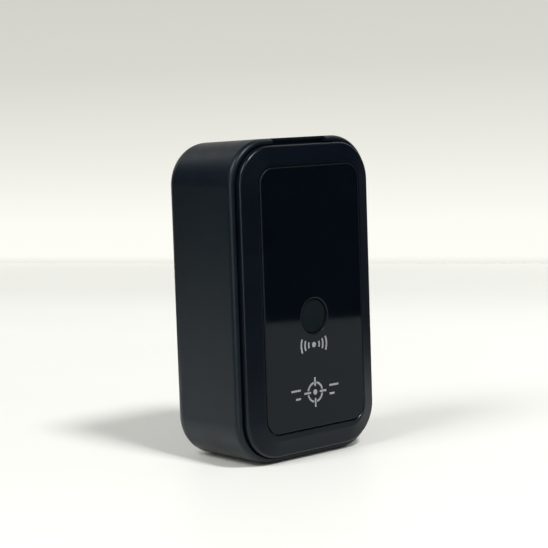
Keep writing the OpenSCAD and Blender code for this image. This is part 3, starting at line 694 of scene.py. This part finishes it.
def make_cover():
    lip = SMALL_EDGE
    recess = [
        panel_loop(PANEL_GAP, PANEL_BACK_Y),
        panel_loop(PANEL_GAP, COVER_Y + lip),
        panel_loop(PANEL_GAP + lip, COVER_Y),
    ]
    loops = [[(x + PANEL_SHIFT[0], y, z + PANEL_SHIFT[1]) for x, y, z in loop] for loop in recess]
    edge_y = COVER_Y + COVER_SLOPE + COVER_EDGE_R
    run, fall = SLOPE_W - COVER_EDGE_R, COVER_SLOPE + COVER_EDGE_R
    tilt = atan2(fall, run) - asin(COVER_EDGE_R / hypot(run, fall))
    loops.append(cover_loop(SLOPE_W + SLOPE_BLEND, COVER_Y))
    for t in (0.25, 0.5, 0.75, 1):
        sink = SLOPE_BLEND * tan(tilt) * t * t
        loops.append(cover_loop(SLOPE_W + SLOPE_BLEND * (1 - 2 * t), COVER_Y + sink))
    for k in range(EDGE_STEPS + 1):
        a = tilt + (pi / 2 - tilt) * k / EDGE_STEPS
        loops.append(cover_loop(COVER_EDGE_R * (1 - sin(a)), edge_y - COVER_EDGE_R * cos(a)))
    skirt = [(0, SKIRT_Y - lip), (lip, SKIRT_Y), (SKIRT_T, SKIRT_Y)]
    skirt += [(SKIRT_T, PLATE_Y + lip), (SKIRT_T + lip, PLATE_Y)]
    loops += [cover_loop(inset, y) for inset, y in skirt]
    cover = skin("cover", loops)
    extras = [rod("guide", GUIDE_OUT_R, ROOT_Y, keeper_high.y, 0, BUTTON_Z)]
    for x in (-RIB_X, RIB_X):
        high = (x + RIB_W / 2, PLATE_Y + RIB_H, RIB_HIGH)
        extras.append(block("rib", (x - RIB_W / 2, ROOT_Y, RIB_LOW), high))
    inner, outer, root_y = -HOOK_GAP - HOOK_T, -HOOK_GAP, ROOT_Y + lip
    hook_outline = [(inner, root_y), (outer, root_y), (outer, HOOK_Y - BARB_L)]
    hook_outline += [(outer + BARB_H, HOOK_Y - BARB_L / 2), (outer, HOOK_Y), (inner, HOOK_Y)]
    for turn in hook_turns():
        hook = prism("hook", hook_outline, -HOOK_W / 2, HOOK_W / 2, upright=True)
        hook.data.transform(turn)
        extras.append(hook)
    combine(cover, joined("extras", extras), "UNION")
    hole = [(HOLE_R, COVER_Y - OVER), (HOLE_R, PLATE_Y), (GUIDE_R, PLATE_Y)]
    hole += [(GUIDE_R, keeper_low.y), (KEEPER_R, keeper_low.y), (KEEPER_R, keeper_high.y + OVER)]
    cut_button_hole(cover, hole)
    smooth(cover)
    place(cover, cover_black, "cover_plastic", ["front_cover"], "cover")
    cover.data.materials.append(cover_edge)
    middle = (cover_low + cover_high) / 2
    for face in cover.data.polygons:
        out_x = abs(face.center.x - middle.x) / (cover_high.x - middle.x)
        out_z = abs(face.center.z - middle.z) / (cover_high.z - middle.z)
        if max(out_x, out_z) > EDGE_OUT and face.center.y < edge_y and face.normal.y > EDGE_TURN:
            face.material_index = 1


def make_panel():
    face_y = PANEL_Y + MARK_T
    loops = [panel_loop(-inset, face_y + sink) for inset, sink in rounding(PANEL_BEVEL, 4)]
    loops += [panel_loop(0, PANEL_BACK_Y - SMALL_EDGE), panel_loop(-SMALL_EDGE, PANEL_BACK_Y)]
    panel = skin("panel", loops)
    hole = [(HOLE_R + HOLE_BEVEL, PANEL_Y - OVER)]
    hole += [(HOLE_R + inset, face_y + sink) for inset, sink in rounding(HOLE_BEVEL, 6)]
    cut_button_hole(panel, [*hole, (HOLE_R, PANEL_BACK_Y + OVER)])
    smooth(panel, angle=25)
    place(panel, gloss_black, "gloss_inlay", ["gloss_panel"], "cover")
    # The edges' lighter colour is painted highlight
    panel.data.materials.append(gloss_edge_painted_highlight)
    for face in panel.data.polygons:
        if abs(face.normal.y) < FLAT_ENOUGH:
            face.material_index = 1


# Call button
CAP_EDGE_R, CAP_DISH = mm(0.16, 0.05)
FLANGE_R, FLANGE_T = mm(3.2, 0.5)
FLANGE_Y = PLATE_Y + 0.06 * MM
PUSHER_R = 1 * MM


def make_button():
    cap_y = button_low.y
    flat_r = BUTTON_R - CAP_EDGE_R
    profile = [(flat_r * s, cap_y + CAP_DISH * (1 - s * s)) for s in (0, 0.25, 0.5, 0.75)]
    profile += [(BUTTON_R - inset, cap_y + sink) for inset, sink in rounding(CAP_EDGE_R, 8)]
    lip, back_y, end_y = SMALL_EDGE, FLANGE_Y + FLANGE_T, button_high.y
    profile += [(BUTTON_R, FLANGE_Y), (FLANGE_R - lip, FLANGE_Y), (FLANGE_R, FLANGE_Y + lip)]
    profile += [(FLANGE_R, back_y - lip), (FLANGE_R - lip, back_y), (PUSHER_R, back_y)]
    profile += [(PUSHER_R, end_y - lip), (PUSHER_R - lip, end_y), (0, end_y)]
    button = turned("button", profile, BUTTON_Z)
    smooth(button)
    place(button, button_black, "button_plastic", ["call_button"], "button")


# Magnets
MAGNET_BEVEL = 0.25 * MM


def make_magnets():
    for name, (low, high) in MAGNETS.items():
        lip = MAGNET_BEVEL / 2
        profile = [(0, low.y), (high.x - lip, low.y), (high.x, low.y + lip)]
        profile += [(high.x - inset, high.y - rise) for rise, inset in rounding(MAGNET_BEVEL, 5)]
        disc = turned(name + "_disc", [*profile, (0, high.y)], (low.z + high.z) / 2)
        smooth(disc)
        place(disc, nickel, "nickel_plate", [name])


# Printed marks on the panel, in place of what the maker printed there, with angles in degrees
MARK_W = 0.28 * MM
DOT_R = 0.38 * MM
CALL_MARK = mm(-0.28, 16.1)
CALL_ARC_RADII = mm(1.0, 1.7, 2.4)
CALL_ARC_HALF = 24
PLACE_MARK = mm(-0.3, 9.4)
PLACE_RING_R = 1.35 * MM
PLACE_ARC = (12, 78)
PLACE_TICK = mm(0.85, 2.1)
PLACE_DASHES = (mm(2.75, 4.5), mm(2.75, 3.7))
DASH_RISE = 0.6 * MM


def on_panel(name, outline):
    return prism(name, outline, PANEL_Y, PANEL_Y + 2 * MARK_T)


def dot(x, z):
    turns = full_turn(BORE_STEPS)
    return on_panel("dot", [(x + DOT_R * cos(a), z + DOT_R * sin(a)) for a in turns])


def arc(middle, radius, start, end, steps=BORE_STEPS):
    """A stroke along a circle, between two angles in degrees."""
    x, z = middle
    angles = [radians(start + (end - start) * k / steps) for k in range(steps + 1)]
    outline = []
    for r, turns in ((radius + MARK_W / 2, angles), (radius - MARK_W / 2, reversed(angles))):
        outline += [(x + r * cos(a), z + r * sin(a)) for a in turns]
    return on_panel("arc", outline)


def bar(x0, x1, z0, z1):
    return on_panel("bar", [(x0, z0), (x1, z0), (x1, z1), (x0, z1)])


def reach(middle, side, near, far):
    """Both ends of a stretch on one side of a middle, the lower one first."""
    return sorted((middle + side * near, middle + side * far))


def make_marks():
    half = MARK_W / 2
    call = [dot(*CALL_MARK)]
    for radius in CALL_ARC_RADII:
        for turn in (0, 180):
            call.append(arc(CALL_MARK, radius, turn - CALL_ARC_HALF, turn + CALL_ARC_HALF))
    place(joined("call_mark", call), print_grey, "card_plastic", body="cover")
    x, z = PLACE_MARK
    spot = [dot(x, z)]
    for turn in (0, 90, 180, 270):
        spot.append(arc(PLACE_MARK, PLACE_RING_R, *(turn + end for end in PLACE_ARC), 16))
    for side in (-1, 1):
        spot.append(bar(*reach(x, side, *PLACE_TICK), z - half, z + half))
        spot.append(bar(x - half, x + half, *reach(z, side, *PLACE_TICK)))
        for rise, dash in zip((DASH_RISE, -DASH_RISE), PLACE_DASHES):
            spot.append(bar(*reach(x, side, *dash), z + rise - half, z + rise + half))
    place(joined("place_mark", spot), print_grey, "card_plastic", body="cover")


# Circuit board and what it carries; each ROUND gives the radii of a block's corners and front edge
PRINT_T, LINE_W = mm(0.02, 0.12)
SMALL_SHARES = (-0.85, -0.71, -0.57, -0.43, -0.29, -0.15, 0.01, 0.15, 0.29)
SMALL_L, SMALL_W, SMALL_T = mm(1, 0.5, 0.5)
SMALL_ROUND = mm(0.03, 0.03)
END_SHARE = 0.24
END_PROUD = 0.02 * MM
END_ROUND = mm(0.05, 0.04)
COIL_W, COIL_T, COIL_END_T = mm(2, 1.2, 0.36)
COIL_ROUND = mm(0.3, 0.12)
CRYSTAL_L, CRYSTAL_W, CRYSTAL_T, CRYSTAL_BASE_T = mm(2.5, 1.6, 0.7, 0.385)
CRYSTAL_ROUND = mm(0.1, 0.03)
LID_RIM = 0.12 * MM
LID_ROUND = mm(0.25, 0.08)
parts_low, parts_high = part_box("small_parts")
patch_low, patch_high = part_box("gps_patch")
plate_low, plate_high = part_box("gps_patch_plate")
pin_low, pin_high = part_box("gps_feed_pin")
can_low, can_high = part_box("modem_shield")
chip_low, chip_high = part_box("processor")
lights_low, lights_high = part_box("status_lights")
switch_low, switch_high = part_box("switch_body")
tongue_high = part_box("usb_tongue")[1]
SMALL_Z = parts_low.z + SMALL_L / 2
COIL_Z = parts_high.z - COIL_W / 2


def on_board(name, x, z, half_w, half_h, height, corner_r, edge_r):
    """A block that stands on the board's front."""
    low = (x - half_w, BOARD_Y - height, z - half_h)
    return cushion(name, low, (x + half_w, BOARD_Y, z + half_h), corner_r, edge_r)


def ends_of(x, z, half_w, half_h, height, upright):
    """The two soldered ends of a small part."""
    caps = []
    for side in (-1, 1):
        long_half = half_h if upright else half_w
        cap = long_half * END_SHARE
        shift = side * (long_half - cap)
        middle = (x, z + shift) if upright else (x + shift, z)
        inner = (half_w, cap, height) if upright else (cap, half_h, height)
        caps.append(on_board("end", *middle, *(size + END_PROUD for size in inner), *END_ROUND))
    return caps


def make_small_parts():
    tan_bodies, dark_bodies, ends = [], [], []
    for k, share in enumerate(SMALL_SHARES):
        sizes = (share * board_high.x, SMALL_Z, SMALL_W / 2, SMALL_L / 2, SMALL_T)
        body = on_board("body", *sizes, *SMALL_ROUND)
        (dark_bodies if k % 3 == 1 else tan_bodies).append(body)
        ends += ends_of(*sizes, True)
    half = COIL_W / 2
    coil = on_board("coil", -SCREW_X, COIL_Z, half, half, COIL_T, *COIL_ROUND)
    wide, tall = half - END_PROUD, half - 2 * END_PROUD
    ends += ends_of(-SCREW_X, COIL_Z, wide, tall, COIL_END_T, False)
    wide, tall = CRYSTAL_L / 2, CRYSTAL_W / 2
    base = on_board("base", SCREW_X, COIL_Z, wide, tall, CRYSTAL_BASE_T, *CRYSTAL_ROUND)
    wide, tall = wide - LID_RIM, tall - LID_RIM
    lid = on_board("lid", SCREW_X, COIL_Z, wide, tall, CRYSTAL_T, *LID_ROUND)
    for piece in (coil, lid):
        smooth(piece)
    bodies = joined("part_bodies", tan_bodies + [base])
    place(bodies, part_tan, "small_part_ceramic", ["small_parts"])
    place(joined("resistor_bodies", dark_bodies), part_dark, "small_part_ceramic")
    place(joined("part_ends", ends), tin, "plated_steel")
    place(coil, ferrite, "small_part_ceramic")
    place(lid, sheet_metal, "sheet_steel")


CHIP_INSET, CHIP_PITCH = mm(0.03, 0.5)
CHIP_ROUND = mm(0.06, 0.05)
CHIP_PAD = mm(0.12, 0.12, 0.2)
CHIP_PAD_ROUND = mm(0.03, 0.02)
DENT_R, DENT_D = mm(0.28, 0.05)
DENT_SHARE = 0.72


def make_processor():
    x, _, z = (chip_low + chip_high) / 2
    half = (chip_high.x - chip_low.x) / 2
    side, height = half - CHIP_INSET, chip_high.y - chip_low.y
    body = on_board("processor_body", x, z, side, side, height, *CHIP_ROUND)
    out = half * DENT_SHARE
    dent = rod("dent", DENT_R, chip_low.y - OVER, chip_low.y + DENT_D, x - out, z + out, TINY_STEPS)
    combine(body, dent)
    smooth(body)
    place(body, chip_black, "chip_moulding", ["processor"])
    pads = []
    out = half - CHIP_PAD[0]
    for k in range(-4, 5):
        along = k * CHIP_PITCH
        for side in (-out, out):
            for shift_x, shift_z in ((side, along), (along, side)):
                pads.append(on_board("pad", x + shift_x, z + shift_z, *CHIP_PAD, *CHIP_PAD_ROUND))
    place(joined("processor_pads", pads), tin, "plated_steel")


SHIELD_ROUND = mm(0.8, 0.22)
VENT_R, VENT_D, VENT_PITCH, VENT_MARGIN = mm(0.3, 0.15, 1.15, 1.5)
SLOT_D, SLOT_H, SLOT_HALF_L = mm(0.1, 0.35, 0.45)


def make_shield():
    shield = cushion("shield_can", can_low, can_high, *SHIELD_ROUND, 5)
    openings = []
    for i in range(4):
        for j in range(3):
            x = can_high.x - VENT_MARGIN - i * VENT_PITCH
            z = can_high.z - VENT_MARGIN - j * VENT_PITCH
            vent = rod("vent", VENT_R, can_low.y - OVER, can_low.y + VENT_D, x, z, TINY_STEPS)
            openings.append(vent)
    for x in (can_low.x, can_high.x):
        for share in (0.25, 0.5, 0.75):
            z = can_low.z + share * (can_high.z - can_low.z)
            low = (x - SLOT_D, BOARD_Y - SLOT_H, z - SLOT_HALF_L)
            openings.append(block("slot", low, (x + SLOT_D, BOARD_Y + OVER, z + SLOT_HALF_L)))
    combine(shield, joined("openings", openings))
    smooth(shield)
    place(shield, sheet_metal, "sheet_steel", ["modem_shield"])


PATCH_ROUND = mm(0.35, 0.12)
PLATE_CORNER = 1.1 * MM


def make_patch():
    ceramic = cushion("patch_ceramic", patch_low, patch_high, *PATCH_ROUND)
    smooth(ceramic)
    place(ceramic, ceramic_tan, "antenna_ceramic", ["gps_patch"])
    cut = PLATE_CORNER
    x0, x1, z0, z1 = plate_low.x, plate_high.x, plate_low.z, plate_high.z
    outline = [(x0 + cut, z0), (x1, z0), (x1, z1 - cut), (x1 - cut, z1), (x0, z1), (x0, z0 + cut)]
    plate = prism("patch_plate", outline, plate_low.y, patch_low.y + PRINT_T)
    soften_edges(plate, FINE_EDGE)
    smooth(plate)
    place(plate, silver_paste, "silver_plate", ["gps_patch_plate"])
    x, _, z = (pin_low + pin_high) / 2
    radius, rise = pin_high.x - x, plate_low.y - pin_low.y
    profile = [(0, pin_high.y), (radius, pin_high.y)]
    profile += [(radius * cos(a), plate_low.y - rise * sin(a)) for a in quarter(6)[:-1]]
    dome = turned("feed_pin", [*profile, (0, pin_low.y)], z, x, PAD_STEPS)
    smooth(dome, angle=60)
    place(dome, tin, "plated_steel", ["gps_feed_pin"])


LIGHT_W = 1.6 * MM
LIGHT_BASE_SHARE = 0.55
LIGHT_ROUND = mm(0.04, 0.02)
LENS_W_SHARE = 0.62
LENS_H_SHARE = 0.94
LENS_ROUND = mm(0.1, 0.1)


def make_lights():
    z = (lights_low.z + lights_high.z) / 2
    half_w, half_h = LIGHT_W / 2, (lights_high.z - lights_low.z) / 2
    height = lights_high.y - lights_low.y
    lens_size = (half_w * LENS_W_SHARE, half_h * LENS_H_SHARE, height)
    bodies, lenses = [], []
    for side in (-1, 1):
        x = side * (lights_high.x - half_w)
        base_t = height * LIGHT_BASE_SHARE
        bodies.append(on_board("base", x, z, half_w, half_h, base_t, *LIGHT_ROUND))
        lenses.append(on_board("lens", x, z, *lens_size, *LENS_ROUND))
    place(joined("light_bases", bodies), light_white, "light_moulding", ["status_lights"])
    lens = joined("light_lenses", lenses)
    smooth(lens)
    place(lens, light_amber, "light_moulding")


LEG_L, LEG_HALF_W, LEG_T, LEG_IN = mm(0.35, 0.3, 0.16, 0.7)
LEG_ROUND = mm(0.05, 0.05)


def make_switch():
    refine("switch_body", "switch_frame", "switch_plunger")
    legs = []
    for side in (-1, 1):
        for z in (switch_low.z + LEG_IN, switch_high.z - LEG_IN):
            x = side * (switch_high.x + LEG_L / 2)
            legs.append(on_board("leg", x, z, LEG_L / 2, LEG_HALF_W, LEG_T, *LEG_ROUND))
    place(joined("switch_legs", legs), tin, "plated_steel")


CONTACT_PITCH, CONTACT_W, CONTACT_PROUD = mm(0.65, 0.3, 0.03)
CONTACT_START, CONTACT_END = mm(1, 0.12)
TONGUE_T = 0.6 * MM


def make_usb():
    refine("usb_shell", "usb_tongue")
    front = (usb_low.y + usb_high.y) / 2 - TONGUE_T / 2
    strips = []
    for k in range(-2, 3):
        x = k * CONTACT_PITCH
        low = (x - CONTACT_W / 2, front - CONTACT_PROUD, usb_low.z + CONTACT_START)
        high = (x + CONTACT_W / 2, front + CONTACT_PROUD, tongue_high.z - CONTACT_END)
        strips.append(block("contact", low, high))
    place(joined("usb_contacts", strips), gold, "gold_plate")


# Print on the board, and its bare pads
PRINT_GAP = 0.2 * MM
TEST_X = board_low.x + 1.4 * MM
TEST_Z = tray_low.z + 1 * MM
TEST_PITCH, TEST_PAD_R, KEY_PAD = mm(1.5, 0.42, 0.62)
SCREW_PAD_R, SCREW_HOLE_R = mm(1.6, 0.8)


def outline_print(x0, x1, z0, z1, gap):
    """A printed rectangle of thin lines round a place on the board."""
    near, far = BOARD_Y - PRINT_T, BOARD_Y + PRINT_T
    rows = []
    for inset, y in ((-gap, near), (-gap, far), (LINE_W - gap, far), (LINE_W - gap, near)):
        left, right, low, high = x0 + inset, x1 - inset, z0 + inset, z1 - inset
        rows.append([(left, y, low), (right, y, low), (right, y, high), (left, y, high)])
    return skin("line", rows, tube=True)


def screw_pad(x, z):
    """The bare ring round a screw's hole."""
    near, far = BOARD_Y - PRINT_T / 2, BOARD_Y + PRINT_T
    outer, inner = SCREW_PAD_R, SCREW_HOLE_R
    rows = []
    for r, y in ((outer, near), (outer, far), (inner, far), (inner, near)):
        rows.append([(x + r * cos(a), y, z + r * sin(a)) for a in full_turn(PAD_STEPS)])
    return skin("ring", rows, tube=True)


def make_board_print():
    lines, pads = [], []
    for low, high in ((chip_low, chip_high), (can_low, can_high), (patch_low, patch_high)):
        lines.append(outline_print(low.x, high.x, low.z, high.z, PRINT_GAP))
    near, far = BOARD_Y - PRINT_T, BOARD_Y + PRINT_T
    for i in range(4):
        for j in range(5):
            x, z = TEST_X + i * TEST_PITCH, TEST_Z + j * TEST_PITCH
            pads.append(rod("pad", TEST_PAD_R, near, far, x, z, TINY_STEPS))
            if i in (0, 3) and j in (0, 4):
                lines.append(outline_print(x, x, z, z, KEY_PAD))
    pads += [screw_pad(x, z) for x, z in SCREW_PLACES]
    place(joined("board_lines", lines), silk_white, "card_plastic")
    place(joined("board_pads", pads), gold, "gold_plate")


# Battery
CELL_EDGE_R, CELL_END = mm(1.6, 1.1)
CELL_TAPER = 0.55
SEAM_T, SEAM_W = mm(0.12, 2.6)
TAPE_T = 0.08 * MM
FOAM_ROUND = mm(1, 0.2)


def lying_loop(low, high, inset, z, radius):
    """A rectangle with round corners in X and Y at one height, inside a box."""
    mid_y = (low.y + high.y) / 2
    flat_loop = centred_loop(high.x - inset, high.y - mid_y - inset, radius - inset, z, 0)
    return [(x, mid_y + y, z) for x, z, y in flat_loop]


def make_battery():
    low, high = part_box("battery_cell")
    mid_y = (low.y + high.y) / 2
    ends = [(inset * CELL_TAPER, low.z + rise) for inset, rise in rounding(CELL_END, 6)]
    ends += [(SEAM_T, low.z + 2 * CELL_END), (SEAM_T, high.z - 2 * CELL_END)]
    ends += [(inset, high.z - (z - low.z)) for inset, z in reversed(ends[:-2])]
    rows = [lying_loop(low, high, max(inset, SEAM_T), z, CELL_EDGE_R) for inset, z in ends]
    cell = skin("pouch_cell", rows)
    seams = []
    for side in (-1, 1):
        left, right = reach(0, side, high.x - 2 * SEAM_T, high.x)
        start = (left, mid_y - SEAM_W / 2, low.z + CELL_END)
        seams.append(block("seam", start, (right, mid_y + SEAM_W / 2, high.z - CELL_END)))
    combine(cell, joined("seams", seams), "UNION")
    soften_edges(cell, FINE_EDGE)
    smooth(cell)
    place(cell, foil, "cell_foil", ["battery_cell"])
    low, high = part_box("battery_tape")
    rows = [
        lying_loop(low, high, inset, z, CELL_EDGE_R + TAPE_T)
        for inset, z in ((0, low.z), (0, high.z), (TAPE_T, high.z), (TAPE_T, low.z))
    ]
    tape = skin("tape_wrap", rows, tube=True)
    smooth(tape)
    place(tape, amber_film, "amber_tape", ["battery_tape"])
    low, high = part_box("foam_pad")
    foam = cushion("foam_block", low, high, *FOAM_ROUND)
    smooth(foam)
    place(foam, foam_grey, "foam", ["foam_pad"])


def dress_packed():
    """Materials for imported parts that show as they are."""
    for node, material in (
        ("circuit_board", board_green),
        ("modem_chip", chip_black),
        ("gsm_antenna", copper),
        ("battery_cap_board", board_green),
        ("battery_wire_red", wire_red),
        ("battery_wire_black", wire_black),
    ):
        bpy.data.objects[node].material_slots[0].material = material


# Stage: a round pale bowl with one straight wall, open to a dark room for reflections
PAPER_TINT = (0.925, 0.925, 0.888)
PAPER_SHADE = 0.985
PAPER_CLOUD = 40 * MM
WALL_TINT = (1, 1, 0.93)
ROOM_COLOR = (0.017, 0.028, 0.045, 1)
BOWL_R = 336 * MM
WALL_AWAY = 271 * MM
WALL_TURN = radians(61)
COVE_R = 9 * MM
WALL_TOP = 428 * MM
BACK_START = YAW - radians(38)
BACK_END = YAW + radians(42)
STAGE_STEPS = 120
FLOOR_HALF = 1
FLOOR_SINK = 0.008 * MM
# Stops of the wall's glow along its height, and of the paper's tone towards the wall, which is
# painted light and shade
GLOW_HEIGHT = 406 * MM
GLOW_STOPS = (
    (0.0, 0.86), (0.0035, 0.985), (0.03, 0.98), (0.088, 0.83), (0.15, 0.69),
    (0.25, 0.62), (0.6, 0.5), (0.75, 0.15), (1.0, 0.1),
)
PAPER_NEAR, PAPER_FAR = mm(-47, 283)
PAPER_PAINTED_LIGHT_STOPS = (
    (0.0, 0.92), (0.131, 0.925), (0.237, 0.945), (0.30, 0.96), (0.38, 0.975),
    (0.474, 1.0), (0.59, 0.98), (0.726, 0.89), (0.88, 0.85), (1.0, 0.85),
)
# The table's corners, whose edges end its reflections in the panel and in the side wall
TABLE_AWAY, TABLE_BACK, TABLE_REACH, TABLE_FRONT = mm(156, 215, 50, 45)
TABLE_TURN = radians(139.7)
TABLE_SLANT = 0.24
TABLE_PIVOT = -12 * MM
# Soft lights, from the shadows, and others that only glint on edges. Each has its name, its bearing
# from +Y, its height above the table and its half width in degrees, and its power
LIGHT_AWAY = 900 * MM
LIGHTS = (("key", 182.7, 54.5, 6, 6.2), ("side_light", -90.7, 47.3, 13, 4.1))
GLINTS = (
    ("left_glint", -116, 8, 18, 2.4),
    ("top_glint", 70, 42, 10, 1.8),
    ("corner_glint", 12, 34, 20, 1.15),
)


def graded(tree, axis, turn, start, end, stops, tint):
    """A tone that changes along one axis of the object, turned about Z, between two distances."""
    point = object_point(tree, {"Rotation": (0, 0, turn)})
    split = new_node(tree, "ShaderNodeSeparateXYZ", {"Vector": point})
    share = spread(tree, split.outputs[axis], 0, 1, start, end)
    ramp = new_node(tree, "ShaderNodeValToRGB", {"Fac": share})
    entries = ramp.color_ramp.elements
    entries[0].position, entries[1].position = stops[0][0], stops[-1][0]
    for position, _ in stops[1:-1]:
        entries.new(position)
    for entry, (_, level) in zip(entries, stops):
        entry.color = (*toned(tint, level), 1)
    return ramp.outputs["Color"]


def paper():
    """Pale paper, faintly mottled, with painted light and shade: brightest partway out, it dims
    towards the front and more towards the wall.
    """
    tree, shader, material = new_material("stage_paper")
    pale, shade = (
        graded(tree, "Y", WALL_TURN, PAPER_NEAR, PAPER_FAR, PAPER_PAINTED_LIGHT_STOPS, tint)
        for tint in (PAPER_TINT, toned(PAPER_TINT, PAPER_SHADE))
    )
    cloud = spread(tree, noise(tree, PAPER_CLOUD), 0, 1)
    color = blend_colors(tree, cloud, pale, shade)
    set_inputs(tree, shader, {"Base Color": color, "Roughness": 0.45, "Specular IOR Level": 0.2})
    return material


def glowing_wall():
    """A wall that glows in place of a lit one, with its glow painted to dim upwards."""
    tree, shader, material = new_material("stage_wall")
    tree.nodes.remove(shader)
    color = graded(tree, "Z", 0, 0, GLOW_HEIGHT, GLOW_STOPS, WALL_TINT)
    glow = new_node(tree, "ShaderNodeEmission", {"Color": color})
    set_inputs(tree, tree.nodes["Material Output"], {"Surface": glow.outputs["Emission"]})
    return material


def stage_piece(name, rows, material):
    """A sheet of the stage, from rows of points."""
    form = bmesh.new()
    rings = [[form.verts.new(p) for p in row] for row in rows]
    for near, far in zip(rings, rings[1:]):
        for k in range(len(near) - 1):
            form.faces.new((near[k], near[k + 1], far[k + 1], far[k]))
    piece = object_of(name, form)
    piece.data.shade_smooth()
    piece.data.materials.append(material)
    piece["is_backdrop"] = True
    return piece


def bowl(name, start, end, material):
    """A strip of the stage's wall with its cove, between two angles from +Y."""
    profile = [(-inset, rise) for inset, rise in rounding(COVE_R)]
    profile.append((0, WALL_TOP))
    rows = []
    for k in range(STAGE_STEPS + 1):
        a = start + (end - start) * k / STAGE_STEPS
        facing = cos(a - WALL_TURN)
        away = min(BOWL_R, WALL_AWAY / facing) if facing > 0 else BOWL_R
        rows.append([((away + r) * sin(a), (away + r) * cos(a), z) for r, z in profile])
    return stage_piece(name, rows, material)


def flat(name, corners, z, material):
    """A level sheet between four corners, in order round it."""
    rows = [[(*corners[k], z) for k in row] for row in ((0, 1), (3, 2))]
    return stage_piece(name, rows, material)


def soft_light(name, bearing, height, half_width, power):
    """A round area light that faces the object, with its three angles in degrees."""
    data = bpy.data.lights.new(name, "AREA")
    data.shape = "DISK"
    data.size = 2 * LIGHT_AWAY * tan(radians(half_width))
    data.energy = power
    light = new_object(name, data)
    toward = direction(radians(bearing), radians(height))
    light.location = toward * LIGHT_AWAY
    light.rotation_euler = toward.to_track_quat("Z", "Y").to_euler()
    light.visible_camera = False
    return light


def make_stage():
    sheet, wall = paper(), glowing_wall()
    far = FLOOR_HALF
    floor = flat("floor", [(-far, -far), (far, -far), (far, far), (-far, far)], -FLOOR_SINK, sheet)
    floor.visible_glossy = False
    ahead = Vector((sin(TABLE_TURN), cos(TABLE_TURN)))
    across = Vector((ahead.y, -ahead.x))
    corners = (
        (TABLE_AWAY - TABLE_SLANT * (TABLE_FRONT - TABLE_PIVOT), TABLE_FRONT),
        (TABLE_AWAY + TABLE_SLANT * (TABLE_REACH + TABLE_PIVOT), -TABLE_REACH),
        (-TABLE_BACK, -TABLE_REACH),
        (-TABLE_BACK, TABLE_FRONT),
    )
    flat("table", [ahead * u + across * v for u, v in corners], 0, sheet)
    backdrop = bowl("backdrop", BACK_START, BACK_END, wall)
    surround = bowl("surround", BACK_END, BACK_START + 2 * pi, wall)
    backdrop.visible_shadow = surround.visible_shadow = False
    surround.visible_glossy = False
    for light in LIGHTS:
        soft_light(*light)
    for glint in GLINTS:
        soft_light(*glint).visible_diffuse = False
    world = bpy.data.worlds.new("world")
    world.use_nodes = True
    world.node_tree.nodes["Background"].inputs["Color"].default_value = ROOM_COLOR
    bpy.context.scene.world = world
    bpy.context.scene.view_settings.view_transform = "Standard"


make_housing()
make_cover()
make_panel()
make_button()
make_magnets()
make_marks()
make_small_parts()
make_processor()
make_shield()
make_patch()
make_lights()
make_switch()
make_usb()
make_board_print()
refine("sim_tray", "sim_cover", "sim_card", "sim_contacts", "microphone", "microphone_boot")
make_battery()
refine("button_keeper", "board_screws", "battery_plug", "battery_socket")
dress_packed()
make_stage()

boxes = {"cad": CAD_BOX, "visual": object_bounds()}
json.dumps({k: [list(p) for p in v] for k, v in boxes.items()})
